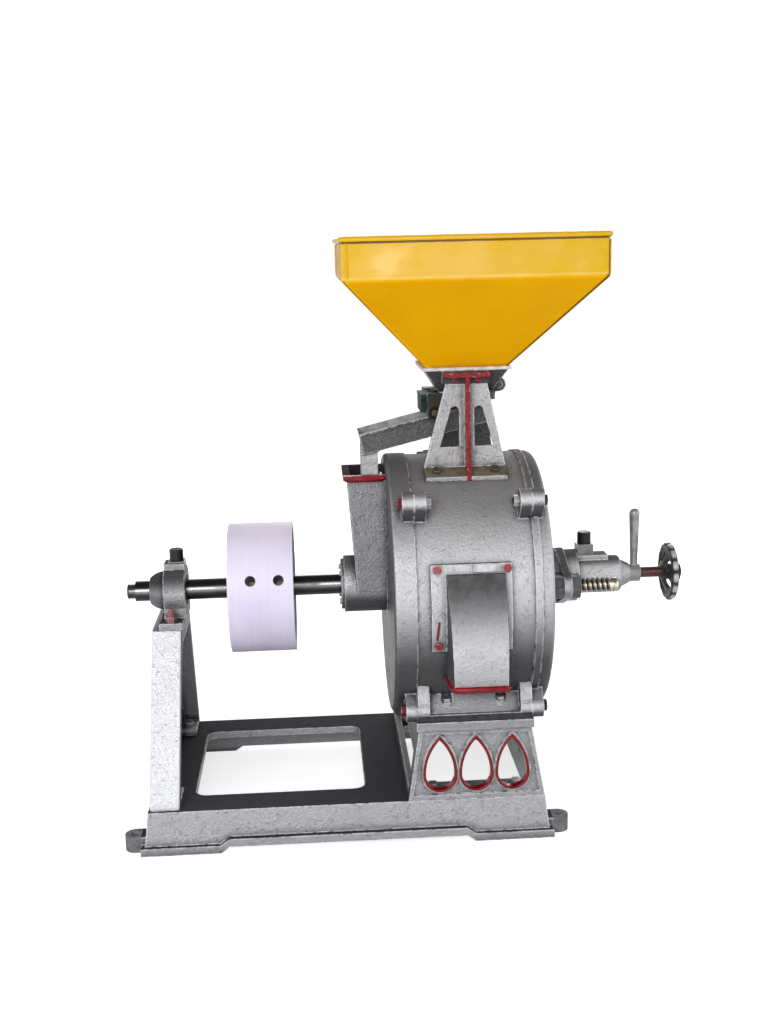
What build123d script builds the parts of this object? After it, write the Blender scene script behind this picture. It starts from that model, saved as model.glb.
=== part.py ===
from build123d import *
import os
from math import acos, asin, atan2, cos, degrees, pi, radians, sin, sqrt

os.makedirs("parts", exist_ok=True)

# Vertical stone flour mill with 16 inch stones, in millimetres.
# X runs along the shaft towards the handwheel, Y to the back, Z up.
# The origin lies on the floor in the middle of the foot bolt pattern.

# Shaft line
SHAFT_HEIGHT = 440.0
SHAFT_DIAMETER = 40.0
SHAFT_STUB_DIAMETER = 28.0
SHAFT_STUB_LENGTH = 16.0
SHAFT_TAIL = 29.0
BUSH_DIAMETER = 60.0
KEY_WIDTH = 12.0
KEY_HEIGHT = 8.0
END_CHAMFER = 2.0

# Clearances
RUN_CLEARANCE = 0.05
PLAY = 0.3
HOLE_CLEARANCE = 0.5
THREAD_CLEARANCE = 0.1

# Fasteners, as multiples of the thread size
HEAD_ACROSS_FLATS = 1.6
HEAD_HEIGHT = 0.65
NUT_HEIGHT = 0.8
THREAD_PROUD = 0.2
SPOT_FACE = 1.3

# Base frame
BASE_LENGTH = 772.0
BASE_WIDTH = 506.0
BASE_HEIGHT = 75.0
BASE_DRAFT_ENDS = 8.0
BASE_DRAFT_SIDES = 18.0
BASE_WALL = 14.0
BASE_PLATE = 14.0
BASE_LIP_HEIGHT = 15.0
BASE_LIP_PROUD = 6.0
BASE_ARCH = 12.0
BASE_ARCH_SLOPE = 16.0
BASE_FOOT = 148.0
PIT_EDGE_PEDESTAL = 23.0
PIT_EDGE_STAND = 79.0
PIT_WIDTH = 320.0
PIT_CORNER = 22.0
STAND_PIT_LENGTH = 232.0
STAND_PIT_WIDTH = 300.0
EAR_OVERHANG = 13.0
EAR_SETBACK = 38.0
EAR_RADIUS = 19.0
EAR_HEIGHT = 30.0
FOOT_BOLT_HOLE = 16.0

# Outboard pedestal and bearing
PEDESTAL_END_GAP = 2.5
PEDESTAL_FOOT_LENGTH = 57.0
PEDESTAL_FOOT_WIDTH = 444.0
PEDESTAL_FOOT_SHIFT = -20.0
PEDESTAL_HEAD_LENGTH = 58.0
PEDESTAL_HEAD_WIDTH = 158.0
PEDESTAL_HEAD_SHIFT = -14.0
PEDESTAL_WALL = 14.0
PEDESTAL_WEB = 12.0
PEDESTAL_FLANGE = 12.0
PEDESTAL_FLANGE_REACH = 62.0
PEDESTAL_BOLT = 12.0
PEDESTAL_BOLT_SHIFT = 9.0
PEDESTAL_ROUND = 4.5
BEARING_WIDTH = 42.0
BEARING_RADIUS = 50.0
BEARING_FOOT_LENGTH = 46.0
BEARING_FOOT_WIDTH = 156.0
BEARING_FOOT_HEIGHT = 14.0
BEARING_FOOT_SHIFT = -6.0
BEARING_NECK = 84.0
BEARING_DROP = 60.0
BEARING_BOLT = 12.0
BEARING_BOLT_SPREAD = 126.0
BEARING_STUD_PROUD = 16.0
DOME_LENGTH = 29.0
DOME_RADIUS = 38.0
DOME_NOSE = 26.0

# Grease cups
CUP_BLOCK = 32.0
CUP_STEM = 18.0
CUP_STEM_HEIGHT = 12.0
CUP_CAP_DIAMETER = 27.0
CUP_CAP_HEIGHT = 23.0
CUP_CAP_CHAMFER = 1.5
OUTBOARD_CUP_SHIFT = 4.0
OUTBOARD_PAD = 40.0
OUTBOARD_PAD_HEIGHT = 7.0
OUTBOARD_BLOCK_HEIGHT = 3.0
ADJUSTER_PAD = 34.0
ADJUSTER_PAD_LENGTH = 62.0
ADJUSTER_PAD_HEIGHT = 6.0
ADJUSTER_BLOCK_HEIGHT = 22.0

# Pulley
PULLEY_GAP = 92.0
PULLEY_DIAMETER = 254.0
PULLEY_WIDTH = 125.0
PULLEY_RIM = 9.0
PULLEY_HUB_DIAMETER = 86.0
PULLEY_HUB_LENGTH = 96.0
PULLEY_ARMS = 5
PULLEY_ARM_ROOT = 40.0
PULLEY_ARM_TIP = 28.0
PULLEY_ARM_THICKNESS = 20.0
PULLEY_ACCESS_HOLE = 20.0
PULLEY_ACCESS_SPACING = 53.0
PULLEY_ACCESS_SHIFT = 8.0
PULLEY_ACCESS_ANGLE = 20.0
SET_SCREW = 12.0

# Casing and covers
CASING_WIDTH = 214.0
CASING_RADIUS = 253.0
CASING_WALL = 12.0
COVER_PROUD = 3.0
COVER_WALL = 12.0
FEED_COVER_DEPTH = 42.0
FEED_COVER_ROUND = 9.0
WHEEL_COVER_DEPTH = 38.0
WHEEL_COVER_ROUND = 15.0
WHEEL_COVER_BAND = 14.0
LUG_COUNT = 4
LUG_ANGLE = 45.0
LUG_STANDOFF = 23.0
LUG_DIAMETER = 44.0
LUG_LENGTH = 22.0
CLAMP_BOLT = 12.0
CASING_FOOT_SETBACK = 2.0
CASING_FOOT_FLANGE = 14.0
CASING_FOOT_REACH = 76.0
CASING_FOOT_SHOULDER = 38.0
CASING_FOOT_HORN = 78.0
CASING_FOOT_HORN_INSET = 16.0
CASING_FOOT_BAR = 31.0
CASING_FOOT_BAR_INSET = 10.0
CASING_BOLT = 10.0
CASING_BOLT_SPACING = 102.0
CASING_BOLT_INSET = 26.0
CASING_BOLT_SEAT = 18.0

# Feed side boss and inlet
BOSS_LENGTH = 84.0
BOSS_RADIUS = 56.0
BUSH_LENGTH = 52.0
FEED_CHAMBER_DIAMETER = 84.0
FEED_MOUTH = 60.0
END_PLATE = 6.0
END_PLATE_RADIUS = 50.0
END_PLATE_SCREW = 6.0
END_PLATE_SCREWS = 4
INLET_RISE = 228.0
INLET_HALF_WIDTH = 62.0
INLET_WALL = 7.0
INLET_TOP_LENGTH = 74.0
INLET_FOOT_LENGTH = 59.0
INLET_LIP = 9.0
INLET_LIP_PROUD = 7.0
INLET_LIP_ROUND = 4.0

# Stones and what turns with them
STONE_DIAMETER = 406.0
BED_THICKNESS = 85.0
BED_EYE = 104.0
RUNNER_THICKNESS = 80.0
RUNNER_EYE = 110.0
STONE_GAP = 3.0
FURROWS = 12
FURROW_WIDTH = 12.0
FURROW_DEPTH = 4.0
STONE_BOLT = 10.0
STONE_BOLT_CIRCLE = 290.0
STONE_BOLTS = 4
STONE_BOLT_GRIP = 45.0
STONE_BOLT_SINK = 7.0
RUNNER_PLATE = 24.0
RUNNER_PLATE_DIAMETER = 400.0
RUNNER_HUB_DIAMETER = 96.0
RUNNER_HUB_LENGTH = 36.0
SWEEPERS = 2
SWEEPER_FOOT = 50.0
SWEEPER_WIDTH = 30.0
SWEEPER_THICKNESS = 8.0
SWEEPER_GAP = 5.0
WORM_DIAMETER = 74.0
WORM_SLEEVE_DIAMETER = 56.0
WORM_PITCH = 50.0
WORM_TURNS = 2.0
WORM_FLIGHT = 7.0
WORM_START = 8.0
WORM_SINK = 2.25

# Handwheel side: pad, adjuster, thrust parts
PAD_LENGTH = 44.0
PAD_RADIUS = 56.0
ADJUSTER_FLANGE = 16.0
ADJUSTER_EAR_RADIUS = 24.0
STUD_SPREAD = 164.0
STUD_DIAMETER = 30.0
STUD_REACH = 75.0
STUD_NUT_FLATS = 43.0
STUD_NUT_HEIGHT = 17.0
COLLAR_LENGTH = 25.0
COLLAR_RADIUS = 52.0
BARREL_LENGTH = 90.0
BARREL_RADIUS = 37.0
BARREL_ROUND = 8.0
BARREL_BORE = 54.0
NECK_LENGTH = 18.0
NECK_RADIUS = 20.0
CUP_SETBACK = 18.0
SLEEVE_INSET = 14.0
SLEEVE_LENGTH = 79.0
SLEEVE_END = 21.0
SLEEVE_BORE = 43.0
THRUST_THICKNESS = 20.0
THRUST_WASHER = 6.0
THRUST_DIAMETER = 42.0
THRUST_CAGE_DIAMETER = 36.0
OPENING_TRAVEL = 5.0
SLEEVE_CLEARANCE = 2.0
SCREW_DIAMETER = 22.0
SCREW_SHOWN = 43.0
LEVER_BOSS_LENGTH = 22.0
LEVER_BOSS_RADIUS = 18.0
LEVER_HEIGHT = 132.0
LEVER_ROOT_DIAMETER = 14.0
LEVER_TOP_DIAMETER = 21.0
HANDWHEEL_DIAMETER = 118.0
HANDWHEEL_RIM = 15.0
HANDWHEEL_RIM_WIDTH = 15.0
HANDWHEEL_HUB_DIAMETER = 30.0
HANDWHEEL_HUB_LENGTH = 30.0
HANDWHEEL_WEB = 7.0
HANDWHEEL_HOLES = 5
HANDWHEEL_HOLE = 20.0
HANDWHEEL_SCALLOPS = 12
HANDWHEEL_SCALLOP = 18.0
HANDWHEEL_DISH = 10.0

# Mill stand
STAND_END_GAP = 0.5
STAND_FOOT_LENGTH = 257.0
STAND_SETBACK = 3.0
STAND_HEAD_LENGTH = 212.0
STAND_LEAN = 14.0
STAND_WALL = 12.0
STAND_SIDE_POST = 30.0
STAND_SIDE_LINTEL = 52.0
SADDLE_SINK = 37.0
LEDGE_THICKNESS = 16.0
LEDGE_OVERHANG_ENDS = 4.0
LEDGE_OVERHANG_SIDES = 7.0
DRUM_CLEARANCE = 4.0
TEAR_HALF_WIDTH = 27.5
TEAR_MARGIN = 19.4
TEAR_SPACING = 68.0
TEAR_RIM = 7.0
TEAR_RIM_POINT = 12.0
TEAR_RIM_HEIGHT = 4.0
PANEL_BORDER = 9.0
PANEL_BORDER_HEIGHT = 3.0
STAND_FLANGE = 12.0
STAND_FLANGE_REACH = 40.0
STAND_BOLT = 12.0
STAND_BOLT_SPACING = 160.0

# Flour outlet
OUTLET_SHIFT = -2.0
OUTLET_WIDTH = 106.0
OUTLET_RISE = 76.0
OUTLET_DROP = 134.0
OUTLET_FOOT_STEP = 37.0
OUTLET_BULGE = 38.0
OUTLET_WALL = 7.0
OUTLET_LIP = 12.0
OUTLET_LIP_PROUD = 5.0
OUTLET_HEAD_STEP = 1.0
OUTLET_BULGE_DROP = 15.0
OUTLET_PLATE = 6.0
OUTLET_PLATE_LENGTH = 147.0
OUTLET_PLATE_SHIFT = -7.0
OUTLET_PLATE_RISE = 93.0
OUTLET_PLATE_DROP = 67.0
OUTLET_BOLT = 8.0
OUTLET_BOLT_MARGIN = 12.0
OUTLET_BOLT_EDGE = 9.0
FLOUR_MOUTH_RISE = 60.0
FLOUR_MOUTH_DROP = 90.0

# Hopper, throat, brackets
HOPPER_SHIFT = 7.0
HOPPER_RISE = 177.0
HOPPER_SLOPE_HEIGHT = 166.0
HOPPER_BAND_HEIGHT = 76.0
HOPPER_SIZE = 464.0
HOPPER_SEAT = 2.0
HOPPER_SHEET = 2.5
HOPPER_RIM = 3.0
HOPPER_RIM_HEIGHT = 10.0
THROAT_TOP_SIZE = 156.0
THROAT_RIM = 6.0
THROAT_RIM_REACH = 5.0
THROAT_FOOT_SIZE = 92.0
THROAT_HEIGHT = 56.0
THROAT_WALL = 6.0
THROAT_FOOT_FLANGE = 6.0
THROAT_EAR = 28.0
THROAT_EAR_THICKNESS = 10.0
THROAT_EAR_REACH = 24.0
THROAT_EAR_PIN = 14.0
THROAT_EAR_PIN_LENGTH = 32.0
THROAT_PAD = 2.0
BRACKET_SHIFT = 4.5
BRACKET_PLATE = 10.0
BRACKET_FOOT_LENGTH = 153.0
BRACKET_REAR_LENGTH = 128.0
BRACKET_REAR_SHIFT = 12.5
BRACKET_HEAD_LENGTH = 78.0
BRACKET_HEAD_DROP = 30.0
BRACKET_FLANGE = 7.0
BRACKET_FLANGE_REACH = 41.0
BRACKET_TAB = 6.0
BRACKET_TAB_LENGTH = 86.0
BRACKET_TAB_DROP = 9.0
BRACKET_BAR = 8.0
BRACKET_RIB = 8.0
BRACKET_RIB_FOOT = 32.0
BRACKET_RIB_HEAD = 18.0
BRACKET_WINDOW_DROP = 80.0
BRACKET_WINDOW_RISE = 29.0
BRACKET_WINDOW_INNER = 14.0
BRACKET_WINDOW_OUTER = 51.0
BRACKET_WINDOW_CROWN = 17.0
BRACKET_BOLT = 10.0
BRACKET_BOLT_SPACING = 110.0
TAB_BOLT = 6.0
TAB_BOLT_SPACING = 42.0

# Feed gate and feed shoe
GATE_OVERLAP = 10.0
GATE_STEM = 20.0
GATE_LAP = 4.0
GATE_PLATE = 4.0
GATE_RAIL = 8.0
GATE_RAIL_FOOT = 4.0
GATE_RAIL_LEDGE = 5.0
GATE_HANDLE_LENGTH = 18.0
GATE_HANDLE_INSET = 10.0
GATE_HANDLE_HEIGHT = 34.0
GATE_HANDLE_RISE = 2.0
SHOE_SLOPE = 13.5
SHOE_PIVOT_OFFSET = 60.0
SHOE_PIVOT_DROP = 30.0
SHOE_DROP = 6.0
SHOE_DEPTH = 40.0
SHOE_WIDTH = 88.0
SHOE_SHEET = 3.0
SHOE_FLANGE = 5.0
SHOE_DOWNHILL = 150.0
SHOE_UPHILL = 103.0
SHOE_EAR = 14.0
SPOUT_LENGTH = 32.0
SPOUT_WIDTH = 60.0
SPOUT_DEPTH = 20.0
SPOUT_SETBACK = 44.0
PIVOT_BOLT = 10.0
PIVOT_HEAD = 23.0
PIVOT_HEAD_HEIGHT = 7.0
HANGER_THICKNESS = 6.0
HANGER_LENGTH = 26.0
HANGER_DROP = 13.0

# Base and stations along the shaft
apron_length = BASE_LENGTH - 2 * BASE_LIP_PROUD
apron_width = BASE_WIDTH - 2 * BASE_LIP_PROUD
base_top_length = apron_length - 2 * BASE_DRAFT_ENDS
base_top_width = apron_width - 2 * BASE_DRAFT_SIDES
base_end = base_top_length / 2
pedestal_x = PEDESTAL_END_GAP + PEDESTAL_FOOT_LENGTH / 2 - base_end
outboard_x = pedestal_x - PEDESTAL_FOOT_SHIFT
casing_x = base_end - STAND_END_GAP - STAND_FOOT_LENGTH / 2
outlet_x = casing_x + OUTLET_SHIFT
hopper_x = casing_x + HOPPER_SHIFT
bracket_x = casing_x + BRACKET_SHIFT
shoe_pivot_x = hopper_x - SHOE_PIVOT_OFFSET
shaft_radius = SHAFT_DIAMETER / 2
bush_radius = BUSH_DIAMETER / 2
bearing_left = outboard_x - BEARING_WIDTH / 2
bearing_right = outboard_x + BEARING_WIDTH / 2
shaft_step = bearing_left - DOME_LENGTH - SHAFT_TAIL
shaft_start = shaft_step - SHAFT_STUB_LENGTH
casing_left = casing_x - CASING_WIDTH / 2
casing_right = casing_x + CASING_WIDTH / 2
feed_face = casing_left - FEED_COVER_DEPTH
feed_inside = feed_face + COVER_WALL
boss_face = feed_face - BOSS_LENGTH
end_plate_face = boss_face - END_PLATE
pulley_x = end_plate_face - PULLEY_GAP - PULLEY_WIDTH / 2
wheel_face = casing_right + WHEEL_COVER_DEPTH
wheel_inside = wheel_face - COVER_WALL
pad_face = wheel_face + PAD_LENGTH
flange_face = pad_face + ADJUSTER_FLANGE
collar_face = flange_face + COLLAR_LENGTH
barrel_face = collar_face + BARREL_LENGTH
neck_face = barrel_face + NECK_LENGTH
sleeve_start = flange_face + SLEEVE_INSET
sleeve_stop = sleeve_start + SLEEVE_LENGTH
thrust_stop = sleeve_stop - SLEEVE_END
shaft_end = thrust_stop - THRUST_THICKNESS
bed_stop = feed_inside + BED_THICKNESS
runner_start = bed_stop + STONE_GAP
runner_stop = runner_start + RUNNER_THICKNESS
plate_stop = runner_stop + RUNNER_PLATE
hub_stop = plate_stop + RUNNER_HUB_LENGTH
lever_start = neck_face + PLAY
lever_stop = lever_start + LEVER_BOSS_LENGTH
handwheel_start = lever_stop + SCREW_SHOWN
outboard_cup_x = outboard_x + OUTBOARD_CUP_SHIFT
adjuster_cup_x = collar_face + CUP_SETBACK
cover_radius = CASING_RADIUS + COVER_PROUD
lug_circle = cover_radius + LUG_STANDOFF
shaft_axis = Axis((0, 0, SHAFT_HEIGHT), (1, 0, 0))

# Levels
drum_top = SHAFT_HEIGHT + CASING_RADIUS
ledge_top = SHAFT_HEIGHT - CASING_RADIUS + SADDLE_SINK
pedestal_top = SHAFT_HEIGHT - BEARING_DROP
bearing_top = SHAFT_HEIGHT + BEARING_RADIUS + OUTBOARD_PAD_HEIGHT
adjuster_top = SHAFT_HEIGHT + BARREL_RADIUS + ADJUSTER_PAD_HEIGHT
inlet_top = SHAFT_HEIGHT + INLET_RISE
spout_foot = inlet_top - SPOUT_DEPTH
hopper_foot = drum_top + HOPPER_RISE
hopper_bend = hopper_foot + HOPPER_SLOPE_HEIGHT
hopper_top = hopper_bend + HOPPER_BAND_HEIGHT
throat_top = hopper_foot - THROAT_RIM
throat_foot = hopper_foot - THROAT_HEIGHT
bracket_head = hopper_foot - BRACKET_HEAD_DROP
shoe_pivot_z = throat_foot - SHOE_PIVOT_DROP
stand_head = ledge_top - LEDGE_THICKNESS
stand_foot_half = base_top_width / 2 - STAND_SETBACK
stand_head_half = stand_foot_half - STAND_LEAN
ledge_half = stand_head_half + LEDGE_OVERHANG_SIDES
casing_foot_half = ledge_half - CASING_FOOT_SETBACK
drum_gap_half = sqrt((cover_radius + DRUM_CLEARANCE) ** 2 - (SHAFT_HEIGHT - ledge_top) ** 2)


def shaft_disc(start, stop, radius, mode=Mode.ADD):
    """Round stock on the shaft axis, from one X to another."""
    with BuildSketch(Plane.YZ.offset(start)) as outline:
        with Locations((0, SHAFT_HEIGHT)):
            Circle(radius)
    extrude(outline.sketch, amount=stop - start, mode=mode)


def hex_bolts(seat, points, size, length):
    """Hex bolts at points of the seat plane: heads above it, shanks below it."""
    with BuildSketch(seat) as heads:
        with Locations(*points):
            RegularPolygon(HEAD_ACROSS_FLATS * size / 2, 6, major_radius=False)
    extrude(heads.sketch, amount=HEAD_HEIGHT * size)
    with BuildSketch(seat) as shanks:
        with Locations(*points):
            Circle(size / 2)
    extrude(shanks.sketch, amount=-length)


def hex_nuts(seat, points, size):
    """Hex nuts at points of the seat plane, standing above it."""
    with BuildSketch(seat) as outline:
        with Locations(*points):
            RegularPolygon(HEAD_ACROSS_FLATS * size / 2, 6, major_radius=False)
    extrude(outline.sketch, amount=NUT_HEIGHT * size)


def drill(seat, points, diameter, depth):
    """Plain holes from the seat plane, down to a depth."""
    with BuildSketch(seat) as outline:
        with Locations(*points):
            Circle(diameter / 2)
    extrude(outline.sketch, amount=-depth, mode=Mode.SUBTRACT)


def circle_points(radius, count, start=0.0):
    """Points in the YZ plane on a circle about the shaft."""
    turns = [radians(start + 360.0 * i / count) for i in range(count)]
    return [(radius * cos(a), SHAFT_HEIGHT + radius * sin(a)) for a in turns]


# Base frame: open-bottomed casting with a lipped foot, two windows and four ears
ear_x = BASE_LENGTH / 2 + EAR_OVERHANG
ear_y = BASE_WIDTH / 2 - EAR_SETBACK
ear_root = EAR_OVERHANG + BASE_WALL
arch_half = BASE_LENGTH / 2 - BASE_FOOT
arch_flat = arch_half - BASE_ARCH_SLOPE
pit_start = pedestal_x + PEDESTAL_FOOT_LENGTH / 2 + PIT_EDGE_PEDESTAL
pit_stop = casing_x - STAND_FOOT_LENGTH / 2 - PIT_EDGE_STAND

with BuildPart() as base_frame:
    with BuildSketch():
        Rectangle(apron_length, apron_width)
    with BuildSketch(Plane.XY.offset(BASE_HEIGHT)):
        Rectangle(base_top_length, base_top_width)
    loft(ruled=True)
    with BuildSketch(Plane.XZ):
        with BuildLine():
            Polyline(
                (-BASE_LENGTH / 2, 0),
                (BASE_LENGTH / 2, 0),
                (BASE_LENGTH / 2, BASE_LIP_HEIGHT),
                (arch_half, BASE_LIP_HEIGHT),
                (arch_flat, BASE_LIP_HEIGHT + BASE_ARCH),
                (-arch_flat, BASE_LIP_HEIGHT + BASE_ARCH),
                (-arch_half, BASE_LIP_HEIGHT),
                (-BASE_LENGTH / 2, BASE_LIP_HEIGHT),
                close=True,
            )
        make_face()
    extrude(amount=BASE_WIDTH / 2, both=True)
    with BuildSketch():
        with GridLocations(2 * ear_x, 2 * ear_y, 2, 2):
            Circle(EAR_RADIUS)
        with GridLocations(2 * ear_x - ear_root, 2 * ear_y, 2, 2):
            Rectangle(ear_root, 2 * EAR_RADIUS)
    extrude(amount=EAR_HEIGHT)
    with BuildSketch():
        Rectangle(apron_length - 2 * BASE_WALL, apron_width - 2 * BASE_WALL)
    with BuildSketch(Plane.XY.offset(BASE_HEIGHT - BASE_PLATE)):
        Rectangle(base_top_length - 2 * BASE_WALL, base_top_width - 2 * BASE_WALL)
    loft(ruled=True, mode=Mode.SUBTRACT)
    with BuildSketch(Plane.XZ):
        with BuildLine():
            Polyline(
                (-arch_half, 0),
                (arch_half, 0),
                (arch_flat, BASE_ARCH),
                (-arch_flat, BASE_ARCH),
                close=True,
            )
        make_face()
    extrude(amount=BASE_WIDTH, both=True, mode=Mode.SUBTRACT)
    with BuildSketch(Plane.XY.offset(BASE_HEIGHT)):
        with Locations(((pit_start + pit_stop) / 2, 0)):
            RectangleRounded(pit_stop - pit_start, PIT_WIDTH, PIT_CORNER)
        with Locations((casing_x, 0)):
            RectangleRounded(STAND_PIT_LENGTH, STAND_PIT_WIDTH, PIT_CORNER)
    extrude(amount=-2 * BASE_PLATE, mode=Mode.SUBTRACT)
    drill(
        Plane.XY.offset(EAR_HEIGHT),
        [(sx * ear_x, sy * ear_y) for sx in (-1, 1) for sy in (-1, 1)],
        FOOT_BOLT_HOLE,
        EAR_HEIGHT,
    )

# Outboard pedestal: tapered casting, open on the side that faces the mill
head_x = outboard_x + PEDESTAL_HEAD_SHIFT
pedestal_height = pedestal_top - BASE_HEIGHT
pedestal_bolt_y = PEDESTAL_FOOT_WIDTH / 2 - PEDESTAL_WALL - PEDESTAL_FLANGE_REACH / 2
bearing_x = outboard_x + BEARING_FOOT_SHIFT
bearing_bolts_at = [(bearing_x, side * BEARING_BOLT_SPREAD / 2) for side in (-1, 1)]
pedestal_bolts_at = [(pedestal_x + PEDESTAL_BOLT_SHIFT, side * pedestal_bolt_y) for side in (-1, 1)]
base_plate_top = Plane.XY.offset(BASE_HEIGHT)


def pedestal_half(level):
    """Half width of the pedestal's outside at a height above its foot."""
    rise = level / pedestal_height
    return (PEDESTAL_FOOT_WIDTH * (1 - rise) + PEDESTAL_HEAD_WIDTH * rise) / 2


pocket_head = pedestal_height - 2 * PEDESTAL_WALL
pocket_foot_half = pedestal_half(0) - PEDESTAL_WALL
pocket_head_half = pedestal_half(pocket_head) - PEDESTAL_WALL
pocket_start = pedestal_x - PEDESTAL_FOOT_LENGTH / 2 + 2 * PEDESTAL_WEB
flange_inner = pocket_foot_half - PEDESTAL_FLANGE_REACH

with BuildPart() as outboard_pedestal:
    with BuildSketch(base_plate_top):
        with Locations((pedestal_x, 0)):
            Rectangle(PEDESTAL_FOOT_LENGTH, PEDESTAL_FOOT_WIDTH)
    with BuildSketch(Plane.XY.offset(pedestal_top)):
        with Locations((head_x, 0)):
            Rectangle(PEDESTAL_HEAD_LENGTH, PEDESTAL_HEAD_WIDTH)
    loft(ruled=True)
    fillet(outboard_pedestal.edges().group_by(Axis.Z)[1], PEDESTAL_ROUND)
    with BuildSketch(Plane.YZ.offset(pocket_start)):
        with BuildLine():
            Polyline(
                (-pocket_foot_half, BASE_HEIGHT + PEDESTAL_FLANGE),
                (-flange_inner, BASE_HEIGHT + PEDESTAL_FLANGE),
                (-flange_inner, BASE_HEIGHT),
                (flange_inner, BASE_HEIGHT),
                (flange_inner, BASE_HEIGHT + PEDESTAL_FLANGE),
                (pocket_foot_half, BASE_HEIGHT + PEDESTAL_FLANGE),
                (pocket_head_half, BASE_HEIGHT + pocket_head),
                (-pocket_head_half, BASE_HEIGHT + pocket_head),
                close=True,
            )
        make_face()
    extrude(amount=PEDESTAL_FOOT_LENGTH, mode=Mode.SUBTRACT)
    drill(
        Plane.XY.offset(BASE_HEIGHT + PEDESTAL_FLANGE),
        pedestal_bolts_at,
        PEDESTAL_BOLT + HOLE_CLEARANCE,
        PEDESTAL_FLANGE,
    )
    drill(
        Plane.XY.offset(pedestal_top),
        bearing_bolts_at,
        BEARING_BOLT + HOLE_CLEARANCE,
        2 * PEDESTAL_WALL,
    )
outboard_pedestal.part.label = "outboard_pedestal"
export_step(outboard_pedestal.part, "parts/outboard_pedestal.step")

with BuildPart() as pedestal_bolts:
    hex_bolts(
        Plane.XY.offset(BASE_HEIGHT + PEDESTAL_FLANGE),
        pedestal_bolts_at,
        PEDESTAL_BOLT,
        PEDESTAL_FLANGE + BASE_PLATE + NUT_HEIGHT * PEDESTAL_BOLT,
    )
    hex_nuts(
        Plane.XY.offset(BASE_HEIGHT - BASE_PLATE - NUT_HEIGHT * PEDESTAL_BOLT),
        pedestal_bolts_at,
        PEDESTAL_BOLT,
    )
pedestal_bolts.part.label = "pedestal_bolts"
export_step(pedestal_bolts.part, "parts/pedestal_bolts.step")

# Outboard bearing: housing with a foot, plain bush, domed end cover
bearing_foot_top = pedestal_top + BEARING_FOOT_HEIGHT
bearing_nut = NUT_HEIGHT * BEARING_BOLT
bearing_stud_foot = pedestal_top - 2 * PEDESTAL_WALL - bearing_nut
bearing_stud_top = bearing_foot_top + bearing_nut + BEARING_STUD_PROUD

with BuildPart() as bearing_housing:
    with BuildSketch(Plane.YZ.offset(bearing_left)):
        with Locations((0, SHAFT_HEIGHT)):
            Circle(BEARING_RADIUS)
        with Locations((0, (bearing_foot_top + SHAFT_HEIGHT) / 2)):
            Rectangle(BEARING_NECK, SHAFT_HEIGHT - bearing_foot_top)
    extrude(amount=BEARING_WIDTH)
    with Locations((bearing_x, 0, pedestal_top + BEARING_FOOT_HEIGHT / 2)):
        Box(BEARING_FOOT_LENGTH, BEARING_FOOT_WIDTH, BEARING_FOOT_HEIGHT)
    with BuildSketch(Plane.XY.offset(SHAFT_HEIGHT)):
        with Locations((outboard_x, 0)):
            Rectangle(OUTBOARD_PAD, OUTBOARD_PAD)
    extrude(amount=BEARING_RADIUS + OUTBOARD_PAD_HEIGHT)
    shaft_disc(bearing_left, bearing_right, bush_radius, Mode.SUBTRACT)
    drill(
        Plane.XY.offset(bearing_foot_top),
        bearing_bolts_at,
        BEARING_BOLT + HOLE_CLEARANCE,
        BEARING_FOOT_HEIGHT,
    )
bearing_housing.part.label = "bearing_housing"
export_step(bearing_housing.part, "parts/bearing_housing.step")

with BuildPart() as bearing_bolts:
    with BuildSketch(Plane.XY.offset(bearing_stud_foot)):
        with Locations(*bearing_bolts_at):
            Circle(BEARING_BOLT / 2)
    extrude(amount=bearing_stud_top - bearing_stud_foot)
    hex_nuts(Plane.XY.offset(bearing_foot_top), bearing_bolts_at, BEARING_BOLT)
    hex_nuts(Plane.XY.offset(bearing_stud_foot), bearing_bolts_at, BEARING_BOLT)
bearing_bolts.part.label = "bearing_bolts"
export_step(bearing_bolts.part, "parts/bearing_bolts.step")

with BuildPart() as bearing_end_cover:
    with BuildSketch(Plane.XZ):
        with BuildLine():
            Polyline(
                (bearing_left, SHAFT_HEIGHT + DOME_RADIUS),
                (bearing_left, SHAFT_HEIGHT + shaft_radius + PLAY),
                (bearing_left - DOME_LENGTH, SHAFT_HEIGHT + shaft_radius + PLAY),
                (bearing_left - DOME_LENGTH, SHAFT_HEIGHT + DOME_NOSE),
            )
            TangentArc(
                (bearing_left, SHAFT_HEIGHT + DOME_RADIUS),
                (bearing_left - DOME_LENGTH, SHAFT_HEIGHT + DOME_NOSE),
                tangent=(-1, 0),
            )
        make_face()
    revolve(axis=shaft_axis)
bearing_end_cover.part.label = "bearing_end_cover"
export_step(bearing_end_cover.part, "parts/bearing_end_cover.step")

# Plain bushes at the three bearings
for bush_name, bush_start, bush_stop in (
    ("outboard_bush", bearing_left, bearing_right),
    ("feed_side_bush", boss_face, boss_face + BUSH_LENGTH),
    ("wheel_side_bush", wheel_inside, pad_face),
):
    with BuildPart() as bush:
        shaft_disc(bush_start, bush_stop, bush_radius)
        shaft_disc(bush_start, bush_stop, shaft_radius + RUN_CLEARANCE, Mode.SUBTRACT)
    bush.part.label = bush_name
    export_step(bush.part, f"parts/{bush_name}.step")

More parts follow.
